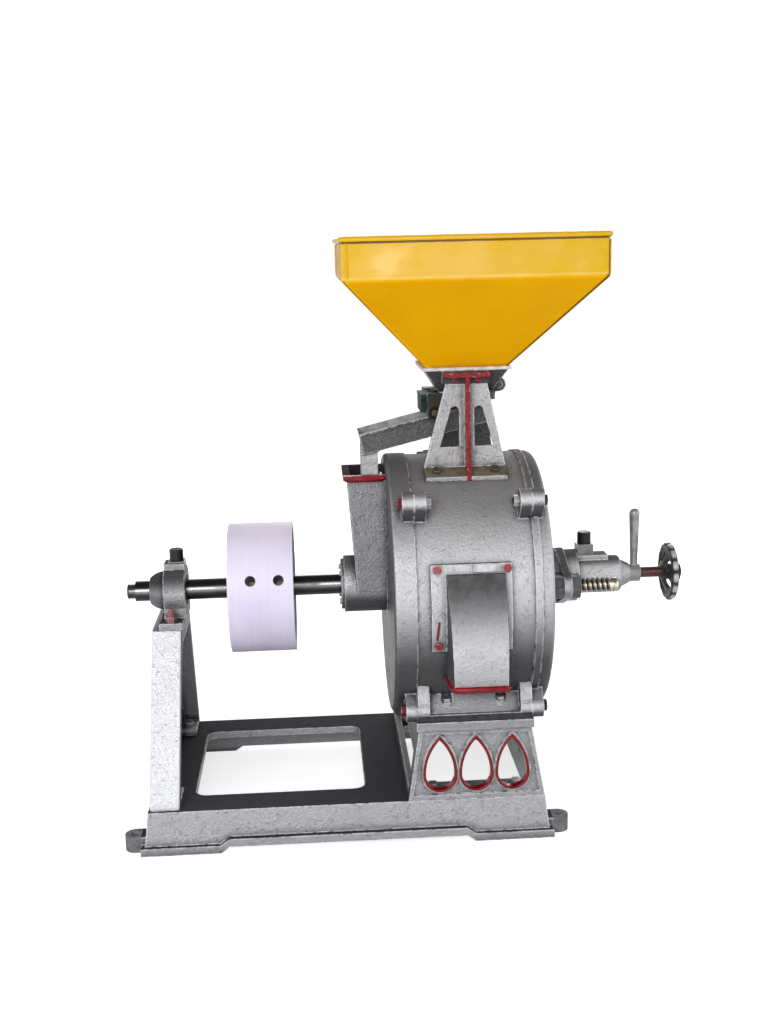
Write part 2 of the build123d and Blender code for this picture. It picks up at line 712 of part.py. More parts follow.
# Grease cups: square block with a stem, and the cap that screws down on it
for cup_name, cup_at, cup_seat, block_height in (
    ("outboard", outboard_cup_x, bearing_top, OUTBOARD_BLOCK_HEIGHT),
    ("adjuster", adjuster_cup_x, adjuster_top, ADJUSTER_BLOCK_HEIGHT),
):
    block_top = cup_seat + block_height
    cap_seat = block_top + PLAY
    with BuildPart() as grease_cup:
        with BuildSketch(Plane.XY.offset(cup_seat)):
            with Locations((cup_at, 0)):
                Rectangle(CUP_BLOCK, CUP_BLOCK)
        extrude(amount=block_height)
        with BuildSketch(Plane.XY.offset(block_top)):
            with Locations((cup_at, 0)):
                Circle(CUP_STEM / 2)
        extrude(amount=CUP_STEM_HEIGHT)
    grease_cup.part.label = f"{cup_name}_grease_cup"
    export_step(grease_cup.part, f"parts/{cup_name}_grease_cup.step")
    with BuildPart() as grease_cap:
        with BuildSketch(Plane.XY.offset(cap_seat)):
            with Locations((cup_at, 0)):
                Circle(CUP_CAP_DIAMETER / 2)
        extrude(amount=CUP_CAP_HEIGHT)
        chamfer(grease_cap.edges().group_by(Axis.Z)[-1], CUP_CAP_CHAMFER)
        drill(
            Plane.XY.offset(cap_seat + CUP_STEM_HEIGHT),
            [(cup_at, 0)],
            CUP_STEM + 2 * RUN_CLEARANCE,
            CUP_STEM_HEIGHT,
        )
    grease_cap.part.label = f"{cup_name}_grease_cap"
    export_step(grease_cap.part, f"parts/{cup_name}_grease_cap.step")

# Mill stand: hollow tapered box with a ledge on top and teardrop holes
stand_height = stand_head - BASE_HEIGHT
stand_tilt = atan2(STAND_LEAN, stand_height)
panel_level = (BASE_HEIGHT + stand_head) / 2
panel_half = (stand_foot_half + stand_head_half) / 2
panel_slant = sqrt(stand_height**2 + STAND_LEAN**2)
panel_lean = degrees(atan2(panel_slant, (STAND_FOOT_LENGTH - STAND_HEAD_LENGTH) / 2))
tear_apex = panel_slant - 2 * TEAR_MARGIN - TEAR_HALF_WIDTH
tear_drop = (tear_apex - TEAR_HALF_WIDTH) / 2
stand_bolt_y = stand_foot_half - STAND_WALL - STAND_FLANGE_REACH / 2
stand_bolts_at = [
    (casing_x + sx * STAND_BOLT_SPACING / 2, sy * stand_bolt_y) for sx in (-1, 1) for sy in (-1, 1)
]
side_foot = stand_foot_half - STAND_SIDE_POST
side_head = stand_head_half - STAND_SIDE_POST
casing_bolt_y = casing_foot_half - CASING_BOLT_INSET
casing_bolts_at = [
    (casing_x + sx * CASING_BOLT_SPACING / 2, sy * casing_bolt_y) for sx in (-1, 1) for sy in (-1, 1)
]


def teardrop(half_width, apex):
    """Outline of a half circle below and two arcs that meet in a point above."""
    flank = (half_width**2 + apex**2) / (2 * half_width)
    turn = asin(apex / flank) / 2
    side = half_width - flank + flank * cos(turn)
    with BuildLine() as outline:
        ThreePointArc((half_width, 0), (side, flank * sin(turn)), (0, apex))
        ThreePointArc((0, apex), (-side, flank * sin(turn)), (-half_width, 0))
        ThreePointArc((-half_width, 0), (0, -half_width), (half_width, 0))
    make_face(outline.edges())


def stand_panel(side, across=0.0, up=0.0):
    """Outer face of the front (-1) or rear (1) panel, about a point shifted along and up it."""
    return Plane(
        origin=(
            casing_x + across,
            side * (panel_half - up * sin(stand_tilt)),
            panel_level + up * cos(stand_tilt),
        ),
        x_dir=(-side, 0, 0),
        z_dir=(0, side * cos(stand_tilt), sin(stand_tilt)),
    )


with BuildPart() as mill_stand:
    with BuildSketch(base_plate_top):
        with Locations((casing_x, 0)):
            Rectangle(STAND_FOOT_LENGTH, 2 * stand_foot_half)
    with BuildSketch(Plane.XY.offset(stand_head)):
        with Locations((casing_x, 0)):
            Rectangle(STAND_HEAD_LENGTH, 2 * stand_head_half)
    loft(ruled=True)
    for side in (-1, 1):
        with BuildSketch(stand_panel(side)):
            Trapezoid(STAND_FOOT_LENGTH, panel_slant, panel_lean)
            Trapezoid(
                STAND_FOOT_LENGTH - 2 * PANEL_BORDER,
                panel_slant - 2 * PANEL_BORDER,
                panel_lean,
                mode=Mode.SUBTRACT,
            )
        extrude(amount=PANEL_BORDER_HEIGHT)
        for place in (-1, 0, 1):
            with BuildSketch(stand_panel(side, place * TEAR_SPACING, -tear_drop)):
                teardrop(TEAR_HALF_WIDTH + TEAR_RIM, tear_apex + TEAR_RIM_POINT)
            extrude(amount=TEAR_RIM_HEIGHT)
    with BuildSketch(Plane.XY.offset(stand_head)):
        with Locations((casing_x, 0)):
            Rectangle(STAND_HEAD_LENGTH + 2 * LEDGE_OVERHANG_ENDS, 2 * ledge_half)
    extrude(amount=LEDGE_THICKNESS)
    with BuildSketch(base_plate_top):
        with Locations((casing_x, 0)):
            Rectangle(STAND_FOOT_LENGTH - 2 * STAND_WALL, 2 * (stand_foot_half - STAND_WALL))
    with BuildSketch(Plane.XY.offset(stand_head)):
        with Locations((casing_x, 0)):
            Rectangle(STAND_HEAD_LENGTH - 2 * STAND_WALL, 2 * (stand_head_half - STAND_WALL))
    loft(ruled=True, mode=Mode.SUBTRACT)
    for side in (-1, 1):
        flange_y = side * (stand_foot_half - STAND_WALL - STAND_FLANGE_REACH / 2)
        with BuildSketch(base_plate_top):
            with Locations((casing_x, flange_y)):
                Rectangle(STAND_FOOT_LENGTH - 2 * STAND_WALL, STAND_FLANGE_REACH)
        extrude(amount=STAND_FLANGE)
        for place in (-1, 0, 1):
            with BuildSketch(stand_panel(side, place * TEAR_SPACING, -tear_drop).offset(TEAR_RIM_HEIGHT)):
                teardrop(TEAR_HALF_WIDTH, tear_apex)
            extrude(amount=-TEAR_RIM_HEIGHT - 2 * STAND_WALL, mode=Mode.SUBTRACT)
    with BuildSketch(Plane.YZ.offset(casing_x)):
        with BuildLine():
            Polyline(
                (-side_foot, BASE_HEIGHT + STAND_FLANGE),
                (side_foot, BASE_HEIGHT + STAND_FLANGE),
                (side_head, stand_head - STAND_SIDE_LINTEL),
                (-side_head, stand_head - STAND_SIDE_LINTEL),
                close=True,
            )
        make_face()
    extrude(amount=STAND_FOOT_LENGTH, both=True, mode=Mode.SUBTRACT)
    with BuildSketch(Plane.XY.offset(stand_head)):
        with Locations((casing_x, 0)):
            Rectangle(STAND_HEAD_LENGTH - 2 * STAND_WALL, 2 * drum_gap_half)
    extrude(amount=LEDGE_THICKNESS, mode=Mode.SUBTRACT)
    shaft_disc(
        casing_x - STAND_FOOT_LENGTH,
        casing_x + STAND_FOOT_LENGTH,
        cover_radius + DRUM_CLEARANCE,
        Mode.SUBTRACT,
    )
    drill(
        Plane.XY.offset(BASE_HEIGHT + STAND_FLANGE),
        stand_bolts_at,
        STAND_BOLT + HOLE_CLEARANCE,
        STAND_FLANGE,
    )
    drill(
        Plane.XY.offset(ledge_top),
        casing_bolts_at,
        CASING_BOLT + HOLE_CLEARANCE,
        LEDGE_THICKNESS,
    )
mill_stand.part.label = "mill_stand"
export_step(mill_stand.part, "parts/mill_stand.step")

with BuildPart() as stand_bolts:
    hex_bolts(
        Plane.XY.offset(BASE_HEIGHT + STAND_FLANGE),
        stand_bolts_at,
        STAND_BOLT,
        STAND_FLANGE + BASE_PLATE + NUT_HEIGHT * STAND_BOLT,
    )
    hex_nuts(
        Plane.XY.offset(BASE_HEIGHT - BASE_PLATE - NUT_HEIGHT * STAND_BOLT),
        stand_bolts_at,
        STAND_BOLT,
    )
stand_bolts.part.label = "stand_bolts"
export_step(stand_bolts.part, "parts/stand_bolts.step")

# Holes in the base plate for what is bolted to it
with base_frame:
    drill(base_plate_top, pedestal_bolts_at, PEDESTAL_BOLT + HOLE_CLEARANCE, BASE_PLATE)
    drill(base_plate_top, stand_bolts_at, STAND_BOLT + HOLE_CLEARANCE, BASE_PLATE)
base_frame.part.label = "base_frame"
export_step(base_frame.part, "parts/base_frame.step")

# Casing body: the drum between the two covers, with clamp lugs and a saddle foot
lug_points = circle_points(lug_circle, LUG_COUNT, LUG_ANGLE)
upper_lugs = [point for point in lug_points if point[1] > SHAFT_HEIGHT]
lower_lugs = [point for point in lug_points if point[1] < SHAFT_HEIGHT]
lug_neck = LUG_STANDOFF + COVER_WALL
casing_bore = CASING_RADIUS - CASING_WALL
flange_top = ledge_top + CASING_FOOT_FLANGE
bolt_seat = flange_top + CASING_BOLT_SEAT
flour_mouth_width = OUTLET_WIDTH - 2 * OUTLET_WALL
bolt_boss = SPOT_FACE * HEAD_ACROSS_FLATS * CASING_BOLT
flour_mouth_top = SHAFT_HEIGHT + FLOUR_MOUTH_RISE
flour_mouth_bottom = SHAFT_HEIGHT - FLOUR_MOUTH_DROP


def clamp_lugs(start, stop):
    """Round lugs about the drum, each on a neck, cut flat where they meet the ledge."""
    with BuildSketch(Plane.YZ.offset(start)) as outline:
        with Locations((0, SHAFT_HEIGHT)):
            with PolarLocations(lug_circle, LUG_COUNT, LUG_ANGLE):
                Circle(LUG_DIAMETER / 2)
            with PolarLocations(lug_circle - lug_neck / 2, LUG_COUNT, LUG_ANGLE):
                Rectangle(lug_neck, LUG_DIAMETER)
        with Locations((0, ledge_top + PLAY)):
            Rectangle(
                2 * (lug_circle + LUG_DIAMETER),
                LUG_DIAMETER,
                align=(Align.CENTER, Align.MAX),
                mode=Mode.SUBTRACT,
            )
    extrude(outline.sketch, amount=stop - start)


def drum_plane(x, angle, radius, side=-1):
    """Plane that touches a drum of this radius, at an angle above the front or rear level."""
    out = (0, side * cos(angle), sin(angle))
    return Plane(
        origin=(x, radius * out[1], SHAFT_HEIGHT + radius * out[2]),
        x_dir=(1, 0, 0),
        z_dir=out,
    )


outlet_surface = CASING_RADIUS + OUTLET_PLATE
outlet_top = SHAFT_HEIGHT + OUTLET_RISE
outlet_bottom = SHAFT_HEIGHT - OUTLET_DROP
outlet_bulge_level = SHAFT_HEIGHT - OUTLET_BULGE_DROP
outlet_shoulder = CASING_RADIUS + OUTLET_HEAD_STEP
outlet_bulge = CASING_RADIUS + OUTLET_BULGE
outlet_reach = CASING_RADIUS + OUTLET_FOOT_STEP
outlet_left = outlet_x + OUTLET_PLATE_SHIFT - OUTLET_PLATE_LENGTH / 2 + OUTLET_BOLT_MARGIN
outlet_right = outlet_x + (OUTLET_WIDTH + OUTLET_BOLT_MARGIN) / 2
outlet_high = asin((OUTLET_PLATE_RISE - OUTLET_BOLT_EDGE) / outlet_surface)
outlet_low = -asin((OUTLET_PLATE_DROP - OUTLET_BOLT_MARGIN) / outlet_surface)
outlet_bolts_at = ((outlet_left, outlet_high), (outlet_right, outlet_high), (outlet_left, outlet_low))
bracket_surface = CASING_RADIUS + BRACKET_FLANGE
bracket_bolt_y = THROAT_TOP_SIZE / 2 + THROAT_PAD + (BRACKET_FLANGE_REACH + BRACKET_PLATE) / 2
bracket_angle = acos(bracket_bolt_y / bracket_surface)
bracket_bolts_x = [casing_x + sx * BRACKET_BOLT_SPACING / 2 for sx in (-1, 1)]

with BuildPart() as casing_body:
    shaft_disc(casing_left, casing_right, CASING_RADIUS)
    clamp_lugs(casing_left, casing_left + LUG_LENGTH)
    clamp_lugs(casing_right - LUG_LENGTH, casing_right)
    for web_start in (casing_left, casing_right - LUG_LENGTH):
        with BuildSketch(Plane.YZ.offset(web_start)):
            with BuildLine():
                Polyline(
                    (casing_foot_half, ledge_top),
                    (casing_foot_half, ledge_top + CASING_FOOT_SHOULDER),
                    (casing_foot_half - CASING_FOOT_HORN_INSET, ledge_top + CASING_FOOT_HORN),
                    (CASING_FOOT_HORN_INSET - casing_foot_half, ledge_top + CASING_FOOT_HORN),
                    (-casing_foot_half, ledge_top + CASING_FOOT_SHOULDER),
                    (-casing_foot_half, ledge_top),
                    close=True,
                )
            make_face()
        extrude(amount=LUG_LENGTH)
    for side in (-1, 1):
        with BuildSketch(Plane.YZ.offset(casing_left)):
            with BuildLine():
                Polyline(
                    (side * casing_foot_half, ledge_top),
                    (side * casing_foot_half, flange_top),
                    (side * (casing_foot_half - CASING_FOOT_BAR_INSET), flange_top),
                    (side * (casing_foot_half - CASING_FOOT_BAR), flange_top + CASING_FOOT_BAR),
                    (side * (casing_foot_half - CASING_FOOT_REACH), ledge_top),
                    close=True,
                )
            make_face()
        extrude(amount=CASING_WIDTH)
    with BuildSketch(Plane.XY.offset(ledge_top)):
        with Locations(*casing_bolts_at):
            Circle(bolt_boss / 2)
    extrude(amount=bolt_seat - ledge_top)
    shaft_disc(casing_left, casing_right, casing_bore, Mode.SUBTRACT)
    with BuildSketch(Plane.XZ):
        with Locations((outlet_x, (flour_mouth_top + flour_mouth_bottom) / 2)):
            Rectangle(flour_mouth_width, flour_mouth_top - flour_mouth_bottom)
    extrude(amount=cover_radius, mode=Mode.SUBTRACT)
    with BuildSketch(Plane.XY.offset(bolt_seat)):
        with Locations(*casing_bolts_at):
            Circle(bolt_boss / 2)
    extrude(amount=CASING_FOOT_BAR - CASING_BOLT_SEAT, mode=Mode.SUBTRACT)
    drill(
        Plane.XY.offset(bolt_seat),
        casing_bolts_at,
        CASING_BOLT + HOLE_CLEARANCE,
        bolt_seat - ledge_top,
    )
    drill(Plane.YZ.offset(casing_right), lug_points, CLAMP_BOLT + HOLE_CLEARANCE, LUG_LENGTH)
    drill(
        Plane.YZ.offset(casing_left + LUG_LENGTH),
        lug_points,
        CLAMP_BOLT + HOLE_CLEARANCE,
        LUG_LENGTH,
    )
    for bolt_x, bolt_angle in outlet_bolts_at:
        drill(
            drum_plane(bolt_x, bolt_angle, outlet_surface),
            [(0, 0)],
            OUTLET_BOLT + HOLE_CLEARANCE,
            OUTLET_PLATE + CASING_WALL,
        )
    for side in (-1, 1):
        for bolt_x in bracket_bolts_x:
            drill(
                drum_plane(bolt_x, bracket_angle, bracket_surface, side),
                [(0, 0)],
                BRACKET_BOLT + HOLE_CLEARANCE,
                BRACKET_FLANGE + CASING_WALL,
            )
casing_body.part.label = "casing_body"
export_step(casing_body.part, "parts/casing_body.step")

with BuildPart() as casing_foot_bolts:
    hex_bolts(
        Plane.XY.offset(bolt_seat),
        casing_bolts_at,
        CASING_BOLT,
        bolt_seat - stand_head - PLAY,
    )
casing_foot_bolts.part.label = "casing_foot_bolts"
export_step(casing_foot_bolts.part, "parts/casing_foot_bolts.step")

# Feed side cover: dished disc with the long boss that holds the bush and the worm
stone_bolt_points = circle_points(STONE_BOLT_CIRCLE / 2, STONE_BOLTS, LUG_ANGLE)
plate_screw_points = circle_points(
    (bush_radius + END_PLATE_RADIUS) / 2, END_PLATE_SCREWS, LUG_ANGLE
)
chamber_start = boss_face + BUSH_LENGTH
cover_front = Plane(origin=(feed_face, 0, 0), x_dir=(0, -1, 0), z_dir=(-1, 0, 0))
stone_bolt_spot = SPOT_FACE * HEAD_ACROSS_FLATS * STONE_BOLT

with BuildPart() as feed_side_cover:
    shaft_disc(feed_face, casing_left, cover_radius)
    fillet(feed_side_cover.edges().sort_by(Axis.X)[0], FEED_COVER_ROUND)
    clamp_lugs(casing_left - LUG_LENGTH, casing_left)
    shaft_disc(feed_inside, casing_left, cover_radius - COVER_WALL, Mode.SUBTRACT)
    shaft_disc(boss_face, feed_face, BOSS_RADIUS)
    shaft_disc(boss_face, chamber_start, bush_radius, Mode.SUBTRACT)
    shaft_disc(chamber_start, feed_inside, FEED_CHAMBER_DIAMETER / 2, Mode.SUBTRACT)
    with BuildSketch(Plane.XY.offset(SHAFT_HEIGHT)):
        with Locations(((chamber_start + feed_face) / 2, 0)):
            Rectangle(feed_face - chamber_start, FEED_MOUTH)
    extrude(amount=BOSS_RADIUS, mode=Mode.SUBTRACT)
    drill(Plane.YZ.offset(casing_left), lug_points, CLAMP_BOLT + HOLE_CLEARANCE, LUG_LENGTH)
    drill(cover_front, stone_bolt_points, stone_bolt_spot, STONE_BOLT_SINK)
    drill(cover_front, stone_bolt_points, STONE_BOLT + HOLE_CLEARANCE, COVER_WALL)
    drill(
        Plane.YZ.offset(boss_face + BUSH_LENGTH / 2),
        plate_screw_points,
        END_PLATE_SCREW + HOLE_CLEARANCE,
        BUSH_LENGTH / 2,
    )
feed_side_cover.part.label = "feed_side_cover"
export_step(feed_side_cover.part, "parts/feed_side_cover.step")

# Wheel side cover: dished disc with a stepped, rounded rim and the adjuster pad
stud_points = [(side * STUD_SPREAD / 2, SHAFT_HEIGHT) for side in (-1, 1)]

with BuildPart() as wheel_side_cover:
    shaft_disc(casing_right, wheel_face, CASING_RADIUS)
    fillet(wheel_side_cover.edges().sort_by(Axis.X)[-1], WHEEL_COVER_ROUND)
    shaft_disc(casing_right, casing_right + WHEEL_COVER_BAND, cover_radius)
    clamp_lugs(casing_right, casing_right + LUG_LENGTH)
    shaft_disc(casing_right, wheel_inside, CASING_RADIUS - COVER_WALL, Mode.SUBTRACT)
    shaft_disc(wheel_face, pad_face, PAD_RADIUS)
    shaft_disc(wheel_inside, pad_face, bush_radius, Mode.SUBTRACT)
    drill(
        Plane.YZ.offset(casing_right + LUG_LENGTH),
        lug_points,
        CLAMP_BOLT + HOLE_CLEARANCE,
        LUG_LENGTH,
    )
    drill(Plane.YZ.offset(wheel_face), stud_points, STUD_DIAMETER + HOLE_CLEARANCE, COVER_WALL)
wheel_side_cover.part.label = "wheel_side_cover"
export_step(wheel_side_cover.part, "parts/wheel_side_cover.step")

# Clamp bolts: the upper ones take nuts, the lower ones end in the saddle webs
left_seat = Plane(origin=(casing_left - LUG_LENGTH, 0, 0), x_dir=(0, -1, 0), z_dir=(-1, 0, 0))
right_seat = Plane.YZ.offset(casing_right + LUG_LENGTH)
left_nut_seat = Plane.YZ.offset(casing_left + LUG_LENGTH)
right_nut_seat = Plane(origin=(casing_right - LUG_LENGTH, 0, 0), x_dir=(0, -1, 0), z_dir=(-1, 0, 0))
nut_reach = (NUT_HEIGHT + THREAD_PROUD) * CLAMP_BOLT
for clamp_name, bolt_seat, nut_seat in (
    ("feed_cover", left_seat, left_nut_seat),
    ("wheel_cover", right_seat, right_nut_seat),
):
    with BuildPart() as clamp_bolts:
        hex_bolts(bolt_seat, upper_lugs, CLAMP_BOLT, 2 * LUG_LENGTH + nut_reach)
        hex_bolts(bolt_seat, lower_lugs, CLAMP_BOLT, 2 * LUG_LENGTH)
    clamp_bolts.part.label = f"{clamp_name}_bolts"
    export_step(clamp_bolts.part, f"parts/{clamp_name}_bolts.step")
    with BuildPart() as clamp_nuts:
        hex_nuts(nut_seat, upper_lugs, CLAMP_BOLT)
        drill(
            nut_seat.offset(NUT_HEIGHT * CLAMP_BOLT),
            upper_lugs,
            CLAMP_BOLT + 2 * THREAD_CLEARANCE,
            NUT_HEIGHT * CLAMP_BOLT,
        )
    clamp_nuts.part.label = f"{clamp_name}_nuts"
    export_step(clamp_nuts.part, f"parts/{clamp_name}_nuts.step")

# End plate of the feed boss and its screws
with BuildPart() as boss_end_plate:
    shaft_disc(end_plate_face, boss_face, END_PLATE_RADIUS)
    shaft_disc(end_plate_face, boss_face, shaft_radius + PLAY, Mode.SUBTRACT)
    drill(
        Plane.YZ.offset(boss_face),
        plate_screw_points,
        END_PLATE_SCREW + HOLE_CLEARANCE,
        END_PLATE,
    )
boss_end_plate.part.label = "boss_end_plate"
export_step(boss_end_plate.part, "parts/boss_end_plate.step")

plate_seat = Plane(origin=(end_plate_face, 0, 0), x_dir=(0, -1, 0), z_dir=(-1, 0, 0))
with BuildPart() as boss_plate_screws:
    hex_bolts(plate_seat, plate_screw_points, END_PLATE_SCREW, END_PLATE + BUSH_LENGTH / 2 - PLAY)
boss_plate_screws.part.label = "boss_plate_screws"
export_step(boss_plate_screws.part, "parts/boss_plate_screws.step")

# Feed inlet chute: box saddled on the boss, with a rounded lip round its mouth
chute_foot_x = feed_face - INLET_FOOT_LENGTH
chute_top_x = feed_face - INLET_TOP_LENGTH

with BuildPart() as feed_inlet_chute:
    with BuildSketch(Plane.XZ):
        with BuildLine():
            Polyline(
                (feed_face, SHAFT_HEIGHT),
                (feed_face, inlet_top),
                (chute_top_x, inlet_top),
                (chute_foot_x, SHAFT_HEIGHT),
                close=True,
            )
        make_face()
    extrude(amount=INLET_HALF_WIDTH, both=True)
    with BuildSketch(Plane.XY.offset(inlet_top - INLET_LIP)):
        with Locations((feed_face - (INLET_TOP_LENGTH + INLET_LIP_PROUD) / 2, 0)):
            Rectangle(
                INLET_TOP_LENGTH + INLET_LIP_PROUD,
                2 * (INLET_HALF_WIDTH + INLET_LIP_PROUD),
            )
    extrude(amount=INLET_LIP)
    lip_sides = feed_inlet_chute.faces().filter_by(Axis.Y).group_by(Axis.Y)
    lip_edges = (lip_sides[0] + lip_sides[-1]).edges().filter_by(Axis.X)
    fillet(lip_edges, INLET_LIP_ROUND)
    with BuildSketch(Plane.XZ):
        with BuildLine():
            Polyline(
                (feed_face - INLET_WALL, SHAFT_HEIGHT),
                (feed_face - INLET_WALL, inlet_top),
                (chute_top_x + INLET_WALL, inlet_top),
                (chute_foot_x + INLET_WALL, SHAFT_HEIGHT),
                close=True,
            )
        make_face()
    extrude(amount=INLET_HALF_WIDTH - INLET_WALL, both=True, mode=Mode.SUBTRACT)
    shaft_disc(chute_top_x, feed_face, BOSS_RADIUS, Mode.SUBTRACT)
feed_inlet_chute.part.label = "feed_inlet_chute"
export_step(feed_inlet_chute.part, "parts/feed_inlet_chute.step")


# Stones: both faces are cut with furrows that run off the radius
def furrows(face_x, eye, into):
    """Grooves from the eye to the rim of a stone's face."""
    reach = STONE_DIAMETER / 2
    with BuildSketch(Plane.YZ.offset(face_x)) as outline:
        with Locations((0, SHAFT_HEIGHT)):
            with PolarLocations(0, FURROWS):
                with Locations((reach / 2 + eye / 4, eye / 4)):
                    Rectangle(reach, FURROW_WIDTH)
            Circle(eye / 2, mode=Mode.SUBTRACT)
    extrude(outline.sketch, amount=into * FURROW_DEPTH, mode=Mode.SUBTRACT)


with BuildPart() as bed_stone:
    shaft_disc(feed_inside, bed_stop, STONE_DIAMETER / 2)
    shaft_disc(feed_inside, bed_stop, BED_EYE / 2, Mode.SUBTRACT)
    furrows(bed_stop, BED_EYE, -1)
    drill(
        Plane.YZ.offset(feed_inside + STONE_BOLT_GRIP + HOLE_CLEARANCE),
        stone_bolt_points,
        STONE_BOLT + HOLE_CLEARANCE,
        STONE_BOLT_GRIP + HOLE_CLEARANCE,
    )
bed_stone.part.label = "bed_stone"
export_step(bed_stone.part, "parts/bed_stone.step")

with BuildPart() as bed_stone_bolts:
    hex_bolts(
        cover_front.offset(-STONE_BOLT_SINK),
        stone_bolt_points,
        STONE_BOLT,
        COVER_WALL - STONE_BOLT_SINK + STONE_BOLT_GRIP,
    )
bed_stone_bolts.part.label = "bed_stone_bolts"
export_step(bed_stone_bolts.part, "parts/bed_stone_bolts.step")

with BuildPart() as runner_stone:
    shaft_disc(runner_start, runner_stop, STONE_DIAMETER / 2)
    shaft_disc(runner_start, runner_stop, RUNNER_EYE / 2, Mode.SUBTRACT)
    furrows(runner_start, RUNNER_EYE, 1)
    drill(
        Plane.YZ.offset(runner_stop),
        stone_bolt_points,
        STONE_BOLT + HOLE_CLEARANCE,
        STONE_BOLT_GRIP + HOLE_CLEARANCE,
    )
runner_stone.part.label = "runner_stone"
export_step(runner_stone.part, "parts/runner_stone.step")

# Runner plate with its hub, keyed to the shaft
key_seat = SHAFT_HEIGHT + shaft_radius - KEY_HEIGHT / 2
runner_key = (runner_stop + hub_stop) / 2
pulley_key = pulley_x
key_places = (
    (pulley_key, PULLEY_HUB_LENGTH),
    (runner_key, hub_stop - runner_stop),
)


def key_box(place, length, gap, mode=Mode.ADD):
    """Block on top of the shaft, half sunk in it, with room round it for a keyway."""
    with BuildSketch(Plane.XY.offset(key_seat - gap)) as outline:
        with Locations((place, 0)):
            Rectangle(length, KEY_WIDTH + 2 * gap)
    extrude(outline.sketch, amount=KEY_HEIGHT + 2 * gap, mode=mode)


with BuildPart() as runner_plate:
    shaft_disc(runner_stop, plate_stop, RUNNER_PLATE_DIAMETER / 2)
    shaft_disc(plate_stop, hub_stop, RUNNER_HUB_DIAMETER / 2)
    shaft_disc(runner_stop, hub_stop, shaft_radius + RUN_CLEARANCE, Mode.SUBTRACT)
    key_box(runner_key, hub_stop - runner_stop, RUN_CLEARANCE, Mode.SUBTRACT)
    drill(Plane.YZ.offset(plate_stop), stone_bolt_points, STONE_BOLT + HOLE_CLEARANCE, RUNNER_PLATE)
runner_plate.part.label = "runner_plate"
export_step(runner_plate.part, "parts/runner_plate.step")

with BuildPart() as runner_stone_bolts:
    hex_bolts(
        Plane.YZ.offset(plate_stop),
        stone_bolt_points,
        STONE_BOLT,
        RUNNER_PLATE + STONE_BOLT_GRIP,
    )
runner_stone_bolts.part.label = "runner_stone_bolts"
export_step(runner_stone_bolts.part, "parts/runner_stone_bolts.step")

# Flour sweepers: feet on the back of the runner plate, blades along the stones
sweeper_outer = casing_bore - SWEEPER_GAP
sweeper_inner = STONE_DIAMETER / 2 + SWEEPER_GAP
sweeper_root = RUNNER_PLATE_DIAMETER / 2 - SWEEPER_FOOT
sweeper_back = plate_stop + SWEEPER_THICKNESS

with BuildPart() as flour_sweepers:
    with BuildSketch(Plane.YZ.offset(plate_stop)):
        with Locations((0, SHAFT_HEIGHT)):
            with PolarLocations((sweeper_root + sweeper_outer) / 2, SWEEPERS):
                Rectangle(sweeper_outer - sweeper_root, SWEEPER_WIDTH)
    extrude(amount=SWEEPER_THICKNESS)
    with BuildSketch(Plane.YZ.offset(bed_stop - STONE_GAP)):
        with Locations((0, SHAFT_HEIGHT)):
            with PolarLocations((sweeper_inner + sweeper_outer) / 2, SWEEPERS):
                Rectangle(sweeper_outer - sweeper_inner, SWEEPER_THICKNESS)
    extrude(amount=sweeper_back - bed_stop + STONE_GAP)
flour_sweepers.part.label = "flour_sweepers"
export_step(flour_sweepers.part, "parts/flour_sweepers.step")

# Main shaft with its reduced tail and two keyways
with BuildPart() as main_shaft:
    shaft_disc(shaft_start, shaft_step, SHAFT_STUB_DIAMETER / 2)
    chamfer(main_shaft.edges().sort_by(Axis.X)[0], END_CHAMFER)
    shaft_disc(shaft_step, shaft_end, shaft_radius)
    for key_place, key_length in key_places:
        key_box(key_place, key_length, RUN_CLEARANCE, Mode.SUBTRACT)
main_shaft.part.label = "main_shaft"
export_step(main_shaft.part, "parts/main_shaft.step")

with BuildPart() as shaft_keys:
    for key_place, key_length in key_places:
        key_box(key_place, key_length, 0)
shaft_keys.part.label = "shaft_keys"
export_step(shaft_keys.part, "parts/shaft_keys.step")

# Feed worm: sleeve on the shaft with a helical flight
worm_begin = chamber_start + WORM_START
worm_length = WORM_PITCH * WORM_TURNS
flight_height = (WORM_DIAMETER - WORM_SLEEVE_DIAMETER) / 2
flight_root = WORM_SLEEVE_DIAMETER / 2 - WORM_SINK

with BuildPart() as feed_worm:
    with BuildLine() as flight_path:
        Helix(
            WORM_PITCH,
            worm_length - WORM_FLIGHT,
            flight_root,
            center=(worm_begin + WORM_FLIGHT / 2, 0, SHAFT_HEIGHT),
            direction=(1, 0, 0),
        )
    flight_start = flight_path.line @ 0
    outward = flight_start - Vector(flight_start.X, 0, SHAFT_HEIGHT)
    with BuildSketch(Plane(flight_start, x_dir=outward, z_dir=flight_path.line % 0)):
        Rectangle(flight_height + WORM_SINK, WORM_FLIGHT, align=(Align.MIN, Align.CENTER))
    sweep(path=flight_path.line, is_frenet=True)
    shaft_disc(worm_begin, worm_begin + worm_length, WORM_SLEEVE_DIAMETER / 2)
    shaft_disc(worm_begin, worm_begin + worm_length, shaft_radius + RUN_CLEARANCE, Mode.SUBTRACT)
feed_worm.part.label = "feed_worm"
export_step(feed_worm.part, "parts/feed_worm.step")

